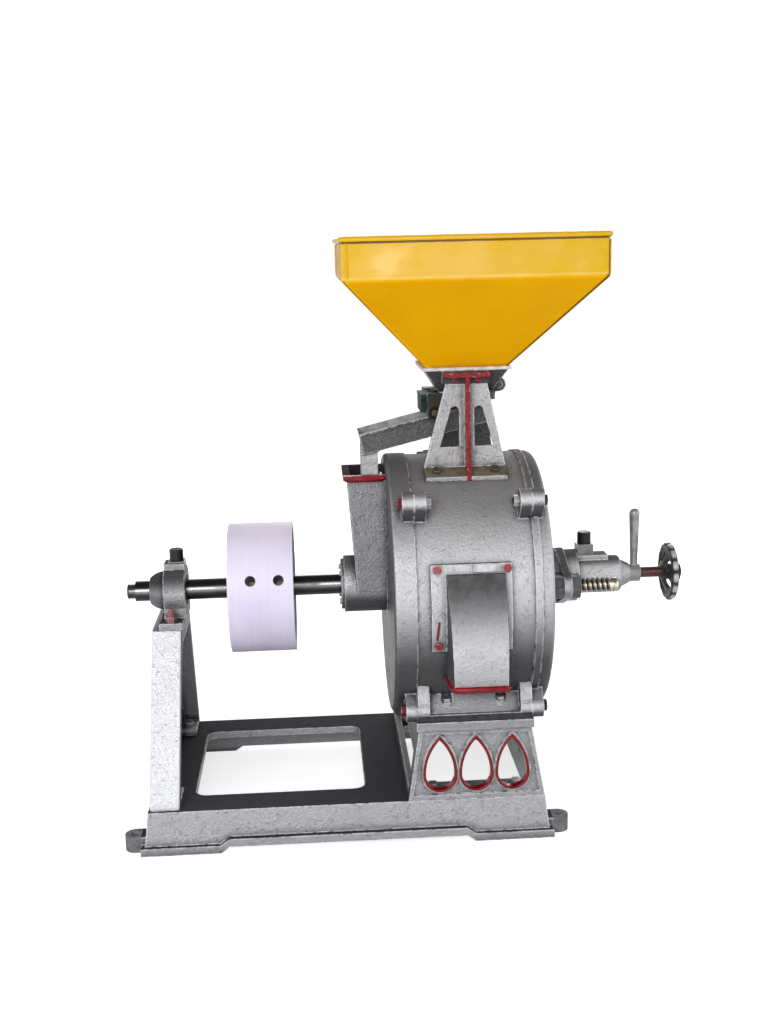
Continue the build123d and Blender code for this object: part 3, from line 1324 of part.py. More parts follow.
# Belt pulley with tapered arms and two holes in the rim to reach the set screws
pulley_left = pulley_x - PULLEY_WIDTH / 2
pulley_right = pulley_x + PULLEY_WIDTH / 2
pulley_radius = PULLEY_DIAMETER / 2
pulley_hub_radius = PULLEY_HUB_DIAMETER / 2
arm_start = (shaft_radius + pulley_hub_radius) / 2
arm_stop = pulley_radius - PULLEY_RIM / 2
arm_length = arm_stop - arm_start
arm_lean = degrees(atan2(2 * arm_length, PULLEY_ARM_ROOT - PULLEY_ARM_TIP))
access_angle = radians(PULLEY_ACCESS_ANGLE)
access_x = [pulley_x + PULLEY_ACCESS_SHIFT + s * PULLEY_ACCESS_SPACING / 2 for s in (-1, 1)]

with BuildPart() as pulley:
    shaft_disc(pulley_left, pulley_right, pulley_radius)
    shaft_disc(pulley_left, pulley_right, pulley_radius - PULLEY_RIM, Mode.SUBTRACT)
    shaft_disc(
        pulley_x - PULLEY_HUB_LENGTH / 2,
        pulley_x + PULLEY_HUB_LENGTH / 2,
        pulley_hub_radius,
    )
    with BuildSketch(Plane.YZ.offset(pulley_x - PULLEY_ARM_THICKNESS / 2)):
        with Locations((0, SHAFT_HEIGHT)):
            with PolarLocations((arm_start + arm_stop) / 2, PULLEY_ARMS, 90):
                Trapezoid(PULLEY_ARM_ROOT, arm_length, arm_lean, rotation=-90)
    extrude(amount=PULLEY_ARM_THICKNESS)
    shaft_disc(pulley_left, pulley_right, shaft_radius + RUN_CLEARANCE, Mode.SUBTRACT)
    key_box(pulley_key, PULLEY_HUB_LENGTH, RUN_CLEARANCE, Mode.SUBTRACT)
    for hole_x in access_x:
        drill(
            drum_plane(hole_x, access_angle, pulley_radius),
            [(0, 0)],
            PULLEY_ACCESS_HOLE,
            2 * PULLEY_RIM,
        )
        drill(
            drum_plane(hole_x, access_angle, pulley_radius - 2 * PULLEY_RIM),
            [(0, 0)],
            SET_SCREW + 2 * THREAD_CLEARANCE,
            pulley_radius - 2 * PULLEY_RIM - shaft_radius,
        )
pulley.part.label = "pulley"
export_step(pulley.part, "parts/pulley.step")

with BuildPart() as pulley_set_screws:
    for hole_x in access_x:
        with BuildSketch(drum_plane(hole_x, access_angle, shaft_radius + THREAD_CLEARANCE)):
            Circle(SET_SCREW / 2)
        extrude(amount=pulley_hub_radius - shaft_radius)
pulley_set_screws.part.label = "pulley_set_screws"
export_step(pulley_set_screws.part, "parts/pulley_set_screws.step")

# Adjuster housing: eared flange, collar, barrel with a cup pad, tapered neck
sleeve_travel_end = sleeve_stop + OPENING_TRAVEL + SLEEVE_CLEARANCE

with BuildPart() as adjuster_housing:
    with BuildSketch(Plane.YZ.offset(pad_face)):
        with Locations((0, SHAFT_HEIGHT)):
            Circle(PAD_RADIUS)
        with Locations(*stud_points):
            Circle(ADJUSTER_EAR_RADIUS)
        make_hull()
    extrude(amount=ADJUSTER_FLANGE)
    shaft_disc(flange_face, collar_face, COLLAR_RADIUS)
    shaft_disc(collar_face, barrel_face, BARREL_RADIUS)
    fillet(adjuster_housing.edges().sort_by(Axis.X)[-1], BARREL_ROUND)
    with BuildSketch(Plane.YZ.offset(barrel_face)):
        with Locations((0, SHAFT_HEIGHT)):
            Circle(BARREL_RADIUS - BARREL_ROUND)
    with BuildSketch(Plane.YZ.offset(neck_face)):
        with Locations((0, SHAFT_HEIGHT)):
            Circle(NECK_RADIUS)
    loft(ruled=True)
    with BuildSketch(Plane.XY.offset(SHAFT_HEIGHT)):
        with Locations((adjuster_cup_x - ADJUSTER_PAD / 2, 0)):
            Rectangle(ADJUSTER_PAD_LENGTH, ADJUSTER_PAD, align=(Align.MIN, Align.CENTER))
    extrude(amount=adjuster_top - SHAFT_HEIGHT)
    shaft_disc(pad_face, sleeve_travel_end, BARREL_BORE / 2, Mode.SUBTRACT)
    shaft_disc(sleeve_travel_end, neck_face, SCREW_DIAMETER / 2 + RUN_CLEARANCE, Mode.SUBTRACT)
    drill(Plane.YZ.offset(flange_face), stud_points, STUD_DIAMETER + HOLE_CLEARANCE, ADJUSTER_FLANGE)
adjuster_housing.part.label = "adjuster_housing"
export_step(adjuster_housing.part, "parts/adjuster_housing.step")

# Adjuster studs with a nut on each side of the ears
stud_stop = flange_face + STUD_NUT_HEIGHT + STUD_REACH
with BuildPart() as adjuster_studs:
    with BuildSketch(Plane.YZ.offset(wheel_inside)):
        with Locations(*stud_points):
            Circle(STUD_DIAMETER / 2)
    extrude(amount=stud_stop - wheel_inside)
    chamfer(adjuster_studs.edges().group_by(Axis.X)[-1], END_CHAMFER)
adjuster_studs.part.label = "adjuster_studs"
export_step(adjuster_studs.part, "parts/adjuster_studs.step")

with BuildPart() as adjuster_nuts:
    for nut_start in (pad_face - STUD_NUT_HEIGHT, flange_face):
        with BuildSketch(Plane.YZ.offset(nut_start)):
            with Locations(*stud_points):
                RegularPolygon(STUD_NUT_FLATS / 2, 6, major_radius=False)
                Circle(STUD_DIAMETER / 2 + THREAD_CLEARANCE, mode=Mode.SUBTRACT)
        extrude(amount=STUD_NUT_HEIGHT)
adjuster_nuts.part.label = "adjuster_nuts"
export_step(adjuster_nuts.part, "parts/adjuster_nuts.step")

# Thrust sleeve and bearing, pushed along by the adjusting screw
sleeve_radius = BARREL_BORE / 2 - RUN_CLEARANCE
with BuildPart() as thrust_sleeve:
    shaft_disc(sleeve_start, sleeve_stop, sleeve_radius)
    shaft_disc(sleeve_start, thrust_stop, SLEEVE_BORE / 2, Mode.SUBTRACT)
thrust_sleeve.part.label = "thrust_sleeve"
export_step(thrust_sleeve.part, "parts/thrust_sleeve.step")

with BuildPart() as thrust_bearing:
    shaft_disc(shaft_end + RUN_CLEARANCE, thrust_stop, THRUST_CAGE_DIAMETER / 2)
    shaft_disc(shaft_end + RUN_CLEARANCE, shaft_end + THRUST_WASHER, THRUST_DIAMETER / 2)
    shaft_disc(thrust_stop - THRUST_WASHER, thrust_stop, THRUST_DIAMETER / 2)
thrust_bearing.part.label = "thrust_bearing"
export_step(thrust_bearing.part, "parts/thrust_bearing.step")

# Adjusting screw, lock lever, handwheel and the nut that holds it
hub_end = handwheel_start + HANDWHEEL_HUB_LENGTH
screw_stop = hub_end + (NUT_HEIGHT + THREAD_PROUD) * SCREW_DIAMETER / 2
screw_radius = SCREW_DIAMETER / 2
wheel_radius = HANDWHEEL_DIAMETER / 2
rim_start = handwheel_start + HANDWHEEL_DISH
web_start = rim_start + (HANDWHEEL_RIM_WIDTH - HANDWHEEL_WEB) / 2
web_reach = wheel_radius - HANDWHEEL_RIM
hole_circle = (web_reach + HANDWHEEL_HUB_DIAMETER / 2) / 2

with BuildPart() as adjusting_screw:
    shaft_disc(sleeve_stop + RUN_CLEARANCE, screw_stop, screw_radius)
adjusting_screw.part.label = "adjusting_screw"
export_step(adjusting_screw.part, "parts/adjusting_screw.step")

with BuildPart() as lock_lever:
    shaft_disc(lever_start, lever_stop, LEVER_BOSS_RADIUS)
    lever_x = (lever_start + lever_stop) / 2
    lever_bend = LEVER_HEIGHT - LEVER_TOP_DIAMETER / 2
    with BuildSketch(Plane.XZ.shift_origin((lever_x, 0, SHAFT_HEIGHT))):
        with BuildLine():
            Polyline(
                (0, LEVER_HEIGHT),
                (0, screw_radius),
                (LEVER_ROOT_DIAMETER / 2, screw_radius),
                (LEVER_ROOT_DIAMETER / 2, LEVER_BOSS_RADIUS),
                (LEVER_TOP_DIAMETER / 2, lever_bend),
            )
            RadiusArc((LEVER_TOP_DIAMETER / 2, lever_bend), (0, LEVER_HEIGHT), -LEVER_TOP_DIAMETER / 2)
        make_face()
    revolve(axis=Axis((lever_x, 0, 0), (0, 0, 1)))
    shaft_disc(lever_start, lever_stop, screw_radius + RUN_CLEARANCE, Mode.SUBTRACT)
lock_lever.part.label = "lock_lever"
export_step(lock_lever.part, "parts/lock_lever.step")

with BuildPart() as handwheel:
    shaft_disc(rim_start, rim_start + HANDWHEEL_RIM_WIDTH, wheel_radius)
    shaft_disc(rim_start, rim_start + HANDWHEEL_RIM_WIDTH, web_reach, Mode.SUBTRACT)
    shaft_disc(web_start, web_start + HANDWHEEL_WEB, web_reach + HANDWHEEL_RIM / 2)
    shaft_disc(handwheel_start, hub_end, HANDWHEEL_HUB_DIAMETER / 2)
    shaft_disc(handwheel_start, hub_end, screw_radius + RUN_CLEARANCE, Mode.SUBTRACT)
    drill(
        Plane.YZ.offset(web_start + HANDWHEEL_WEB),
        circle_points(hole_circle, HANDWHEEL_HOLES),
        HANDWHEEL_HOLE,
        HANDWHEEL_WEB,
    )
    drill(
        Plane.YZ.offset(rim_start + HANDWHEEL_RIM_WIDTH),
        circle_points(wheel_radius + HANDWHEEL_SCALLOP / 4, HANDWHEEL_SCALLOPS),
        HANDWHEEL_SCALLOP,
        HANDWHEEL_RIM_WIDTH,
    )
handwheel.part.label = "handwheel"
export_step(handwheel.part, "parts/handwheel.step")

with BuildPart() as handwheel_nut:
    with BuildSketch(Plane.YZ.offset(hub_end)):
        with Locations((0, SHAFT_HEIGHT)):
            RegularPolygon(HANDWHEEL_HUB_DIAMETER / 2, 6, major_radius=False)
            Circle(screw_radius + THREAD_CLEARANCE, mode=Mode.SUBTRACT)
    extrude(amount=NUT_HEIGHT * screw_radius)
handwheel_nut.part.label = "handwheel_nut"
export_step(handwheel_nut.part, "parts/handwheel_nut.step")

# Flour outlet: curved plate on the drum with a bulged spout, open below
with BuildPart() as flour_outlet:
    with BuildSketch(Plane.YZ.offset(outlet_x - OUTLET_WIDTH / 2)):
        with BuildLine():
            ThreePointArc(
                (-outlet_shoulder, outlet_top),
                (-outlet_bulge, outlet_bulge_level),
                (-outlet_reach, outlet_bottom),
            )
            Polyline(
                (-outlet_reach, outlet_bottom),
                (-casing_bore / 2, outlet_bottom),
                (-casing_bore / 2, outlet_top),
                (-outlet_shoulder, outlet_top),
            )
        make_face()
    extrude(amount=OUTLET_WIDTH)
    with BuildSketch(Plane.XY.offset(outlet_bottom)):
        with Locations((outlet_x, 0)):
            Rectangle(
                OUTLET_WIDTH + 2 * OUTLET_LIP_PROUD,
                outlet_reach + OUTLET_LIP_PROUD,
                align=(Align.CENTER, Align.MAX),
            )
    extrude(amount=OUTLET_LIP)
    with BuildSketch(Plane.YZ.offset(outlet_x + OUTLET_PLATE_SHIFT - OUTLET_PLATE_LENGTH / 2)):
        with Locations((0, SHAFT_HEIGHT)):
            Circle(outlet_surface)
        with Locations((0, SHAFT_HEIGHT + (OUTLET_PLATE_RISE - OUTLET_PLATE_DROP) / 2)):
            Rectangle(
                outlet_reach,
                OUTLET_PLATE_RISE + OUTLET_PLATE_DROP,
                align=(Align.MAX, Align.CENTER),
                mode=Mode.INTERSECT,
            )
    extrude(amount=OUTLET_PLATE_LENGTH)
    shaft_disc(casing_left, casing_right, CASING_RADIUS, Mode.SUBTRACT)
    with BuildSketch(Plane.YZ.offset(outlet_x - flour_mouth_width / 2)):
        with BuildLine():
            ThreePointArc(
                (OUTLET_WALL - outlet_shoulder, outlet_top - OUTLET_WALL),
                (OUTLET_WALL - outlet_bulge, outlet_bulge_level),
                (OUTLET_WALL - outlet_reach, outlet_bottom),
            )
            Polyline(
                (OUTLET_WALL - outlet_reach, outlet_bottom),
                (-casing_bore / 2, outlet_bottom),
                (-casing_bore / 2, outlet_top - OUTLET_WALL),
                (OUTLET_WALL - outlet_shoulder, outlet_top - OUTLET_WALL),
            )
        make_face()
    extrude(amount=flour_mouth_width, mode=Mode.SUBTRACT)
    for bolt_x, bolt_angle in outlet_bolts_at:
        drill(
            drum_plane(bolt_x, bolt_angle, outlet_surface),
            [(0, 0)],
            OUTLET_BOLT + HOLE_CLEARANCE,
            2 * OUTLET_PLATE,
        )
flour_outlet.part.label = "flour_outlet"
export_step(flour_outlet.part, "parts/flour_outlet.step")

with BuildPart() as outlet_bolts:
    for bolt_x, bolt_angle in outlet_bolts_at:
        hex_bolts(
            drum_plane(bolt_x, bolt_angle, outlet_surface),
            [(0, 0)],
            OUTLET_BOLT,
            OUTLET_PLATE + CASING_WALL,
        )
outlet_bolts.part.label = "outlet_bolts"
export_step(outlet_bolts.part, "parts/outlet_bolts.step")

# Hopper brackets: plate on a curved foot, with a T rib up the middle and windows at the front
plate_inner = THROAT_TOP_SIZE / 2 + THROAT_PAD
plate_outer = plate_inner + BRACKET_PLATE
tab_outer = plate_inner + BRACKET_TAB
foot_outer = plate_inner + BRACKET_FLANGE_REACH
head_half = BRACKET_HEAD_LENGTH / 2
bar_bottom = hopper_foot - BRACKET_TAB_DROP - BRACKET_BAR
tab_bolt_level = (bracket_head + bar_bottom) / 2
crown_x = BRACKET_WINDOW_INNER + BRACKET_WINDOW_CROWN / 2
window_top = hopper_foot - BRACKET_WINDOW_DROP
window_bottom = drum_top + BRACKET_WINDOW_RISE
plate_foot = SHAFT_HEIGHT + sqrt(bracket_surface**2 - plate_inner**2)
tab_bolts_at = [(bracket_x + s * TAB_BOLT_SPACING / 2, tab_bolt_level) for s in (-1, 1)]

for bracket_name, side, plate_length, shift, windows in (
    ("front", -1, BRACKET_FOOT_LENGTH, 0, (-1, 1)),
    ("rear", 1, BRACKET_REAR_LENGTH, BRACKET_REAR_SHIFT, ()),
):
    plate_foot_x = casing_x + shift
    plate_head_x = bracket_x + shift
    with BuildPart() as hopper_bracket:
        with BuildSketch(Plane.XZ.offset(-side * plate_inner)):
            with BuildLine():
                Polyline(
                    (plate_foot_x - plate_length / 2, SHAFT_HEIGHT),
                    (plate_foot_x + plate_length / 2, SHAFT_HEIGHT),
                    (plate_foot_x + plate_length / 2, plate_foot),
                    (plate_head_x + head_half, bracket_head),
                    (plate_head_x - head_half, bracket_head),
                    (plate_foot_x - plate_length / 2, plate_foot),
                    close=True,
                )
            make_face()
            for hand in windows:
                with BuildLine():
                    Polyline(
                        (bracket_x + hand * BRACKET_WINDOW_INNER, window_bottom),
                        (bracket_x + hand * BRACKET_WINDOW_OUTER, window_bottom),
                        (
                            bracket_x + hand * (BRACKET_WINDOW_INNER + BRACKET_WINDOW_CROWN),
                            window_top,
                        ),
                        (bracket_x + hand * BRACKET_WINDOW_INNER, window_top),
                        close=True,
                    )
                make_face(mode=Mode.SUBTRACT)
                with Locations((bracket_x + hand * crown_x, window_top)):
                    Circle(BRACKET_WINDOW_CROWN / 2, mode=Mode.SUBTRACT)
        extrude(amount=-side * BRACKET_PLATE)
        with BuildSketch(Plane.YZ.offset(casing_x - BRACKET_FOOT_LENGTH / 2)):
            with Locations((0, SHAFT_HEIGHT)):
                Circle(bracket_surface)
            with Locations((side * (plate_inner + foot_outer) / 2, plate_foot)):
                Rectangle(BRACKET_FLANGE_REACH, CASING_RADIUS, mode=Mode.INTERSECT)
        extrude(amount=BRACKET_FOOT_LENGTH)
        with BuildSketch(Plane.YZ.offset(bracket_x - BRACKET_RIB / 2)):
            with BuildLine():
                Polyline(
                    (side * plate_inner, bar_bottom),
                    (side * plate_inner, SHAFT_HEIGHT),
                    (side * (plate_outer + BRACKET_RIB_FOOT), SHAFT_HEIGHT),
                    (side * (plate_outer + BRACKET_RIB_FOOT), plate_foot),
                    (side * (plate_outer + BRACKET_RIB_HEAD), bar_bottom),
                    close=True,
                )
            make_face()
        extrude(amount=BRACKET_RIB)
        with BuildSketch(Plane.XY.offset(bar_bottom)):
            with Locations((bracket_x, side * (plate_inner + plate_outer + BRACKET_RIB_HEAD) / 2)):
                Rectangle(BRACKET_TAB_LENGTH, BRACKET_PLATE + BRACKET_RIB_HEAD)
        extrude(amount=BRACKET_BAR)
        with BuildSketch(Plane.XY.offset(bracket_head)):
            with Locations((bracket_x, side * (plate_inner + tab_outer) / 2)):
                Rectangle(BRACKET_TAB_LENGTH, BRACKET_TAB)
        extrude(amount=bar_bottom - bracket_head)
        shaft_disc(casing_left, casing_right, CASING_RADIUS, Mode.SUBTRACT)
        drill(
            Plane(
                origin=(0, side * (tab_outer + BRACKET_PLATE), 0),
                x_dir=(-side, 0, 0),
                z_dir=(0, side, 0),
            ),
            [(-side * x, z) for x, z in tab_bolts_at],
            TAB_BOLT + HOLE_CLEARANCE,
            BRACKET_TAB + BRACKET_PLATE,
        )
        for bolt_x in bracket_bolts_x:
            drill(
                drum_plane(bolt_x, bracket_angle, bracket_surface, side),
                [(0, 0)],
                BRACKET_BOLT + HOLE_CLEARANCE,
                2 * BRACKET_FLANGE,
            )
    hopper_bracket.part.label = f"hopper_bracket_{bracket_name}"
    export_step(hopper_bracket.part, f"parts/hopper_bracket_{bracket_name}.step")

with BuildPart() as bracket_foot_bolts:
    for side in (-1, 1):
        for bolt_x in bracket_bolts_x:
            hex_bolts(
                drum_plane(bolt_x, bracket_angle, bracket_surface, side),
                [(0, 0)],
                BRACKET_BOLT,
                BRACKET_FLANGE + CASING_WALL,
            )
bracket_foot_bolts.part.label = "bracket_foot_bolts"
export_step(bracket_foot_bolts.part, "parts/bracket_foot_bolts.step")

with BuildPart() as bracket_top_bolts:
    for side in (-1, 1):
        tab_seat = Plane(origin=(0, side * tab_outer, 0), x_dir=(-side, 0, 0), z_dir=(0, side, 0))
        hex_bolts(
            tab_seat,
            [(-side * x, z) for x, z in tab_bolts_at],
            TAB_BOLT,
            BRACKET_TAB + THROAT_WALL,
        )
bracket_top_bolts.part.label = "bracket_top_bolts"
export_step(bracket_top_bolts.part, "parts/bracket_top_bolts.step")

# Hopper throat: tapered casting with a rim, bolting pads and rails for the gate
gate_width = THROAT_FOOT_SIZE + 2 * GATE_LAP
rail_inner = gate_width / 2 + PLAY
rail_outer = rail_inner + GATE_RAIL
gate_top = throat_foot - PLAY
gate_bottom = gate_top - GATE_PLATE
rail_bottom = gate_bottom - PLAY - GATE_RAIL_FOOT
throat_foot_half = THROAT_FOOT_SIZE / 2
gate_mouth = THROAT_FOOT_SIZE - 2 * THROAT_WALL
hanger_start = shoe_pivot_x - HANGER_LENGTH / 2
rail_start = hanger_start
rail_stop = hopper_x + throat_foot_half + GATE_OVERLAP
rail_mid = (rail_start + rail_stop) / 2
throat_ear_x = hopper_x + throat_foot_half + THROAT_EAR_REACH
throat_ear_level = throat_foot + THROAT_EAR / 2

with BuildPart() as hopper_throat:
    with BuildSketch(Plane.XY.offset(throat_foot)):
        with Locations((hopper_x, 0)):
            Rectangle(THROAT_FOOT_SIZE, THROAT_FOOT_SIZE)
    with BuildSketch(Plane.XY.offset(throat_top)):
        with Locations((hopper_x, 0)):
            Rectangle(THROAT_TOP_SIZE, THROAT_TOP_SIZE)
    loft(ruled=True)
    with BuildSketch(Plane.XY.offset(throat_top)):
        with Locations((hopper_x, 0)):
            Rectangle(THROAT_TOP_SIZE + 2 * THROAT_RIM_REACH, THROAT_TOP_SIZE + 2 * THROAT_RIM_REACH)
    extrude(amount=THROAT_RIM)
    with BuildSketch(Plane.XY.offset(bracket_head)):
        with Locations((bracket_x, 0)):
            Rectangle(BRACKET_TAB_LENGTH, 2 * plate_inner)
    extrude(amount=throat_top - bracket_head)
    with BuildSketch(Plane.XY.offset(throat_foot)):
        for side in (-1, 1):
            with Locations((rail_mid, side * (throat_foot_half + rail_outer) / 2)):
                Rectangle(rail_stop - rail_start, rail_outer - throat_foot_half)
        with Locations((rail_stop - GATE_OVERLAP / 2, 0)):
            Rectangle(GATE_OVERLAP, 2 * rail_outer)
        with Locations((hopper_x, 0)):
            Rectangle(THROAT_FOOT_SIZE, THROAT_FOOT_SIZE)
    extrude(amount=THROAT_FOOT_FLANGE)
    with BuildSketch(Plane.XY.offset(rail_bottom)):
        for side in (-1, 1):
            with Locations((rail_mid, side * (rail_inner + rail_outer) / 2)):
                Rectangle(rail_stop - rail_start, GATE_RAIL)
    extrude(amount=throat_foot - rail_bottom)
    with BuildSketch(Plane.XY.offset(rail_bottom)):
        for side in (-1, 1):
            with Locations((rail_mid, side * (rail_inner - GATE_RAIL_LEDGE / 2))):
                Rectangle(rail_stop - rail_start, GATE_RAIL_LEDGE)
    extrude(amount=GATE_RAIL_FOOT)
    with BuildSketch(Plane.XZ):
        with Locations((throat_ear_x, throat_ear_level)):
            Circle(THROAT_EAR / 2)
        with Locations((throat_ear_x - THROAT_EAR / 2, throat_ear_level)):
            Rectangle(THROAT_EAR, THROAT_EAR)
    extrude(amount=THROAT_EAR_THICKNESS / 2, both=True)
    with BuildSketch(Plane.XZ):
        with Locations((throat_ear_x, throat_ear_level)):
            Circle(THROAT_EAR_PIN / 2)
    extrude(amount=THROAT_EAR_PIN_LENGTH / 2, both=True)
    with BuildSketch(Plane.XY.offset(throat_foot)):
        with Locations((hopper_x, 0)):
            Rectangle(gate_mouth, gate_mouth)
    with BuildSketch(Plane.XY.offset(hopper_foot)):
        with Locations((hopper_x, 0)):
            Rectangle(THROAT_TOP_SIZE - 2 * THROAT_WALL, THROAT_TOP_SIZE - 2 * THROAT_WALL)
    loft(ruled=True, mode=Mode.SUBTRACT)
    for side in (-1, 1):
        drill(
            Plane(origin=(0, side * plate_inner, 0), x_dir=(-side, 0, 0), z_dir=(0, side, 0)),
            [(-side * x, z) for x, z in tab_bolts_at],
            TAB_BOLT + HOLE_CLEARANCE,
            THROAT_WALL + PLAY,
        )
hopper_throat.part.label = "hopper_throat"
export_step(hopper_throat.part, "parts/hopper_throat.step")

# Hopper: sheet pyramid under an upright band with a folded rim
hopper_foot_size = THROAT_TOP_SIZE - 2 * HOPPER_SEAT

with BuildPart() as hopper:
    for shrink, mode in ((0, Mode.ADD), (HOPPER_SHEET, Mode.SUBTRACT)):
        with BuildSketch(Plane.XY.offset(hopper_foot)):
            with Locations((hopper_x, 0)):
                Rectangle(hopper_foot_size - 2 * shrink, hopper_foot_size - 2 * shrink)
        with BuildSketch(Plane.XY.offset(hopper_bend)):
            with Locations((hopper_x, 0)):
                Rectangle(HOPPER_SIZE - 2 * shrink, HOPPER_SIZE - 2 * shrink)
        loft(ruled=True, mode=mode)
        with BuildSketch(Plane.XY.offset(hopper_bend)):
            with Locations((hopper_x, 0)):
                Rectangle(HOPPER_SIZE - 2 * shrink, HOPPER_SIZE - 2 * shrink)
        extrude(amount=hopper_top - hopper_bend, mode=mode)
    with BuildSketch(Plane.XY.offset(hopper_top - HOPPER_RIM_HEIGHT)):
        with Locations((hopper_x, 0)):
            Rectangle(HOPPER_SIZE + 2 * HOPPER_RIM, HOPPER_SIZE + 2 * HOPPER_RIM)
            Rectangle(
                HOPPER_SIZE - 2 * HOPPER_SHEET,
                HOPPER_SIZE - 2 * HOPPER_SHEET,
                mode=Mode.SUBTRACT,
            )
    extrude(amount=HOPPER_RIM_HEIGHT)
hopper.part.label = "hopper"
export_step(hopper.part, "parts/hopper.step")

# Feed gate: slide under the throat with a block for a handle
gate_stop = hopper_x + throat_foot_half + GATE_OVERLAP
gate_handle_stop = hopper_x - throat_foot_half - GATE_STEM
gate_handle_start = gate_handle_stop - GATE_HANDLE_LENGTH

with BuildPart() as feed_gate:
    with BuildSketch(Plane.XY.offset(gate_bottom)):
        with Locations(((gate_handle_start + gate_stop) / 2, 0)):
            Rectangle(gate_stop - gate_handle_start, gate_width)
    extrude(amount=GATE_PLATE)
    with BuildSketch(Plane.XY.offset(gate_top + GATE_HANDLE_RISE)):
        with Locations(((gate_handle_start + gate_handle_stop) / 2, 0)):
            Rectangle(GATE_HANDLE_LENGTH, gate_width - 2 * GATE_HANDLE_INSET)
    extrude(amount=-GATE_HANDLE_HEIGHT)
feed_gate.part.label = "feed_gate"
export_step(feed_gate.part, "parts/feed_gate.step")

# Feed shoe: tilted tray that rocks on two pivot bolts and drops grain down its spout
shoe_tilt = radians(SHOE_SLOPE)
shoe_side = Plane(
    origin=(shoe_pivot_x, 0, shoe_pivot_z),
    x_dir=(-cos(shoe_tilt), 0, -sin(shoe_tilt)),
    z_dir=(0, 1, 0),
)
shoe_length = SHOE_DOWNHILL + SHOE_UPHILL
shoe_mid = (SHOE_DOWNHILL - SHOE_UPHILL) / 2
shoe_half = SHOE_WIDTH / 2
boss_outer = rail_outer - PLAY
spout_x = feed_face - SPOUT_SETBACK + SPOUT_LENGTH / 2


def tray_block(length, half_width, top, bottom, mode=Mode.ADD):
    """Block along the tray, between two levels below the pivot line."""
    with BuildSketch(shoe_side) as outline:
        with Locations((shoe_mid, -(top + bottom) / 2)):
            Rectangle(length, bottom - top)
    extrude(outline.sketch, amount=half_width, both=True, mode=mode)


with BuildPart() as feed_shoe:
    tray_block(shoe_length, shoe_half, SHOE_DROP, SHOE_DROP + SHOE_DEPTH)
    tray_block(shoe_length, shoe_half + SHOE_FLANGE, SHOE_DROP, SHOE_DROP + SHOE_SHEET)
    with BuildSketch(shoe_side):
        Circle(SHOE_EAR)
    extrude(amount=boss_outer, both=True)
    with BuildSketch(Plane.XY.offset(spout_foot)):
        with Locations((spout_x, 0)):
            Rectangle(SPOUT_LENGTH, SPOUT_WIDTH)
    extrude(until=Until.NEXT)
    tray_block(
        shoe_length - 2 * SHOE_SHEET,
        shoe_half - SHOE_SHEET,
        -SHOE_EAR,
        SHOE_DROP + SHOE_DEPTH - SHOE_SHEET,
        Mode.SUBTRACT,
    )
    with BuildSketch(Plane.XY.offset(spout_foot)):
        with Locations((spout_x, 0)):
            Rectangle(SPOUT_LENGTH - 2 * SHOE_SHEET, SPOUT_WIDTH - 2 * SHOE_SHEET)
    extrude(amount=shoe_pivot_z - spout_foot, mode=Mode.SUBTRACT)
    with BuildSketch(shoe_side):
        Circle(PIVOT_BOLT / 2 + RUN_CLEARANCE)
    extrude(amount=boss_outer, both=True, mode=Mode.SUBTRACT)
feed_shoe.part.label = "feed_shoe"
export_step(feed_shoe.part, "parts/feed_shoe.step")

# Hangers on the gate rails and the pivot bolts of the shoe
hanger_top = throat_foot + THROAT_FOOT_FLANGE
hanger_bottom = shoe_pivot_z - HANGER_DROP
with BuildPart() as shoe_hangers:
    for side in (-1, 1):
        with BuildSketch(Plane.XZ.offset(-side * rail_outer)):
            with Locations((shoe_pivot_x, (hanger_top + hanger_bottom) / 2)):
                Rectangle(HANGER_LENGTH, hanger_top - hanger_bottom)
            with Locations((shoe_pivot_x, shoe_pivot_z)):
                Circle(PIVOT_BOLT / 2 + THREAD_CLEARANCE, mode=Mode.SUBTRACT)
        extrude(amount=-side * HANGER_THICKNESS)
shoe_hangers.part.label = "shoe_hangers"
export_step(shoe_hangers.part, "parts/shoe_hangers.step")

with BuildPart() as shoe_pivot_bolts:
    for side in (-1, 1):
        with BuildSketch(Plane.XZ.offset(-side * (rail_outer + HANGER_THICKNESS))):
            with Locations((shoe_pivot_x, shoe_pivot_z)):
                Circle(PIVOT_HEAD / 2)
        extrude(amount=-side * PIVOT_HEAD_HEIGHT)
        with BuildSketch(Plane.XZ.offset(-side * (rail_outer + HANGER_THICKNESS))):
            with Locations((shoe_pivot_x, shoe_pivot_z)):
                Circle(PIVOT_BOLT / 2)
        extrude(amount=side * (rail_outer + HANGER_THICKNESS - shoe_half + SHOE_SHEET))
shoe_pivot_bolts.part.label = "shoe_pivot_bolts"
export_step(shoe_pivot_bolts.part, "parts/shoe_pivot_bolts.step")
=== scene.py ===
"""Looks of a vertical stone flour mill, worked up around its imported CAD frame."""

import math

import bmesh
import bpy
import numpy as np
from bpy.props import FloatProperty, FloatVectorProperty, IntProperty, PointerProperty
from mathutils import Matrix, Vector


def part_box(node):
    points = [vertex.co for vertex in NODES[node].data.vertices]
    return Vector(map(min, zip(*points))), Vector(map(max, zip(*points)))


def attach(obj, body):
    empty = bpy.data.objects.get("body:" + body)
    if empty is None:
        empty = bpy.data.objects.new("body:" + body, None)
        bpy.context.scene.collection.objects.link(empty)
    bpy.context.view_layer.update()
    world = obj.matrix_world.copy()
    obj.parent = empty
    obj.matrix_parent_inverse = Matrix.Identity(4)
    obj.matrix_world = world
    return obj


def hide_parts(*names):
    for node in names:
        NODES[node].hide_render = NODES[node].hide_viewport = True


bl_info = {
    "name": "Flour mill finisher",
    "version": (1, 0, 0),
    "blender": (4, 5, 0),
    "location": "View3D > Sidebar > Flour mill",
    "description": "Paints the castings of a stone flour mill and adds threads, rolled rims and seams",
    "category": "Object",
}

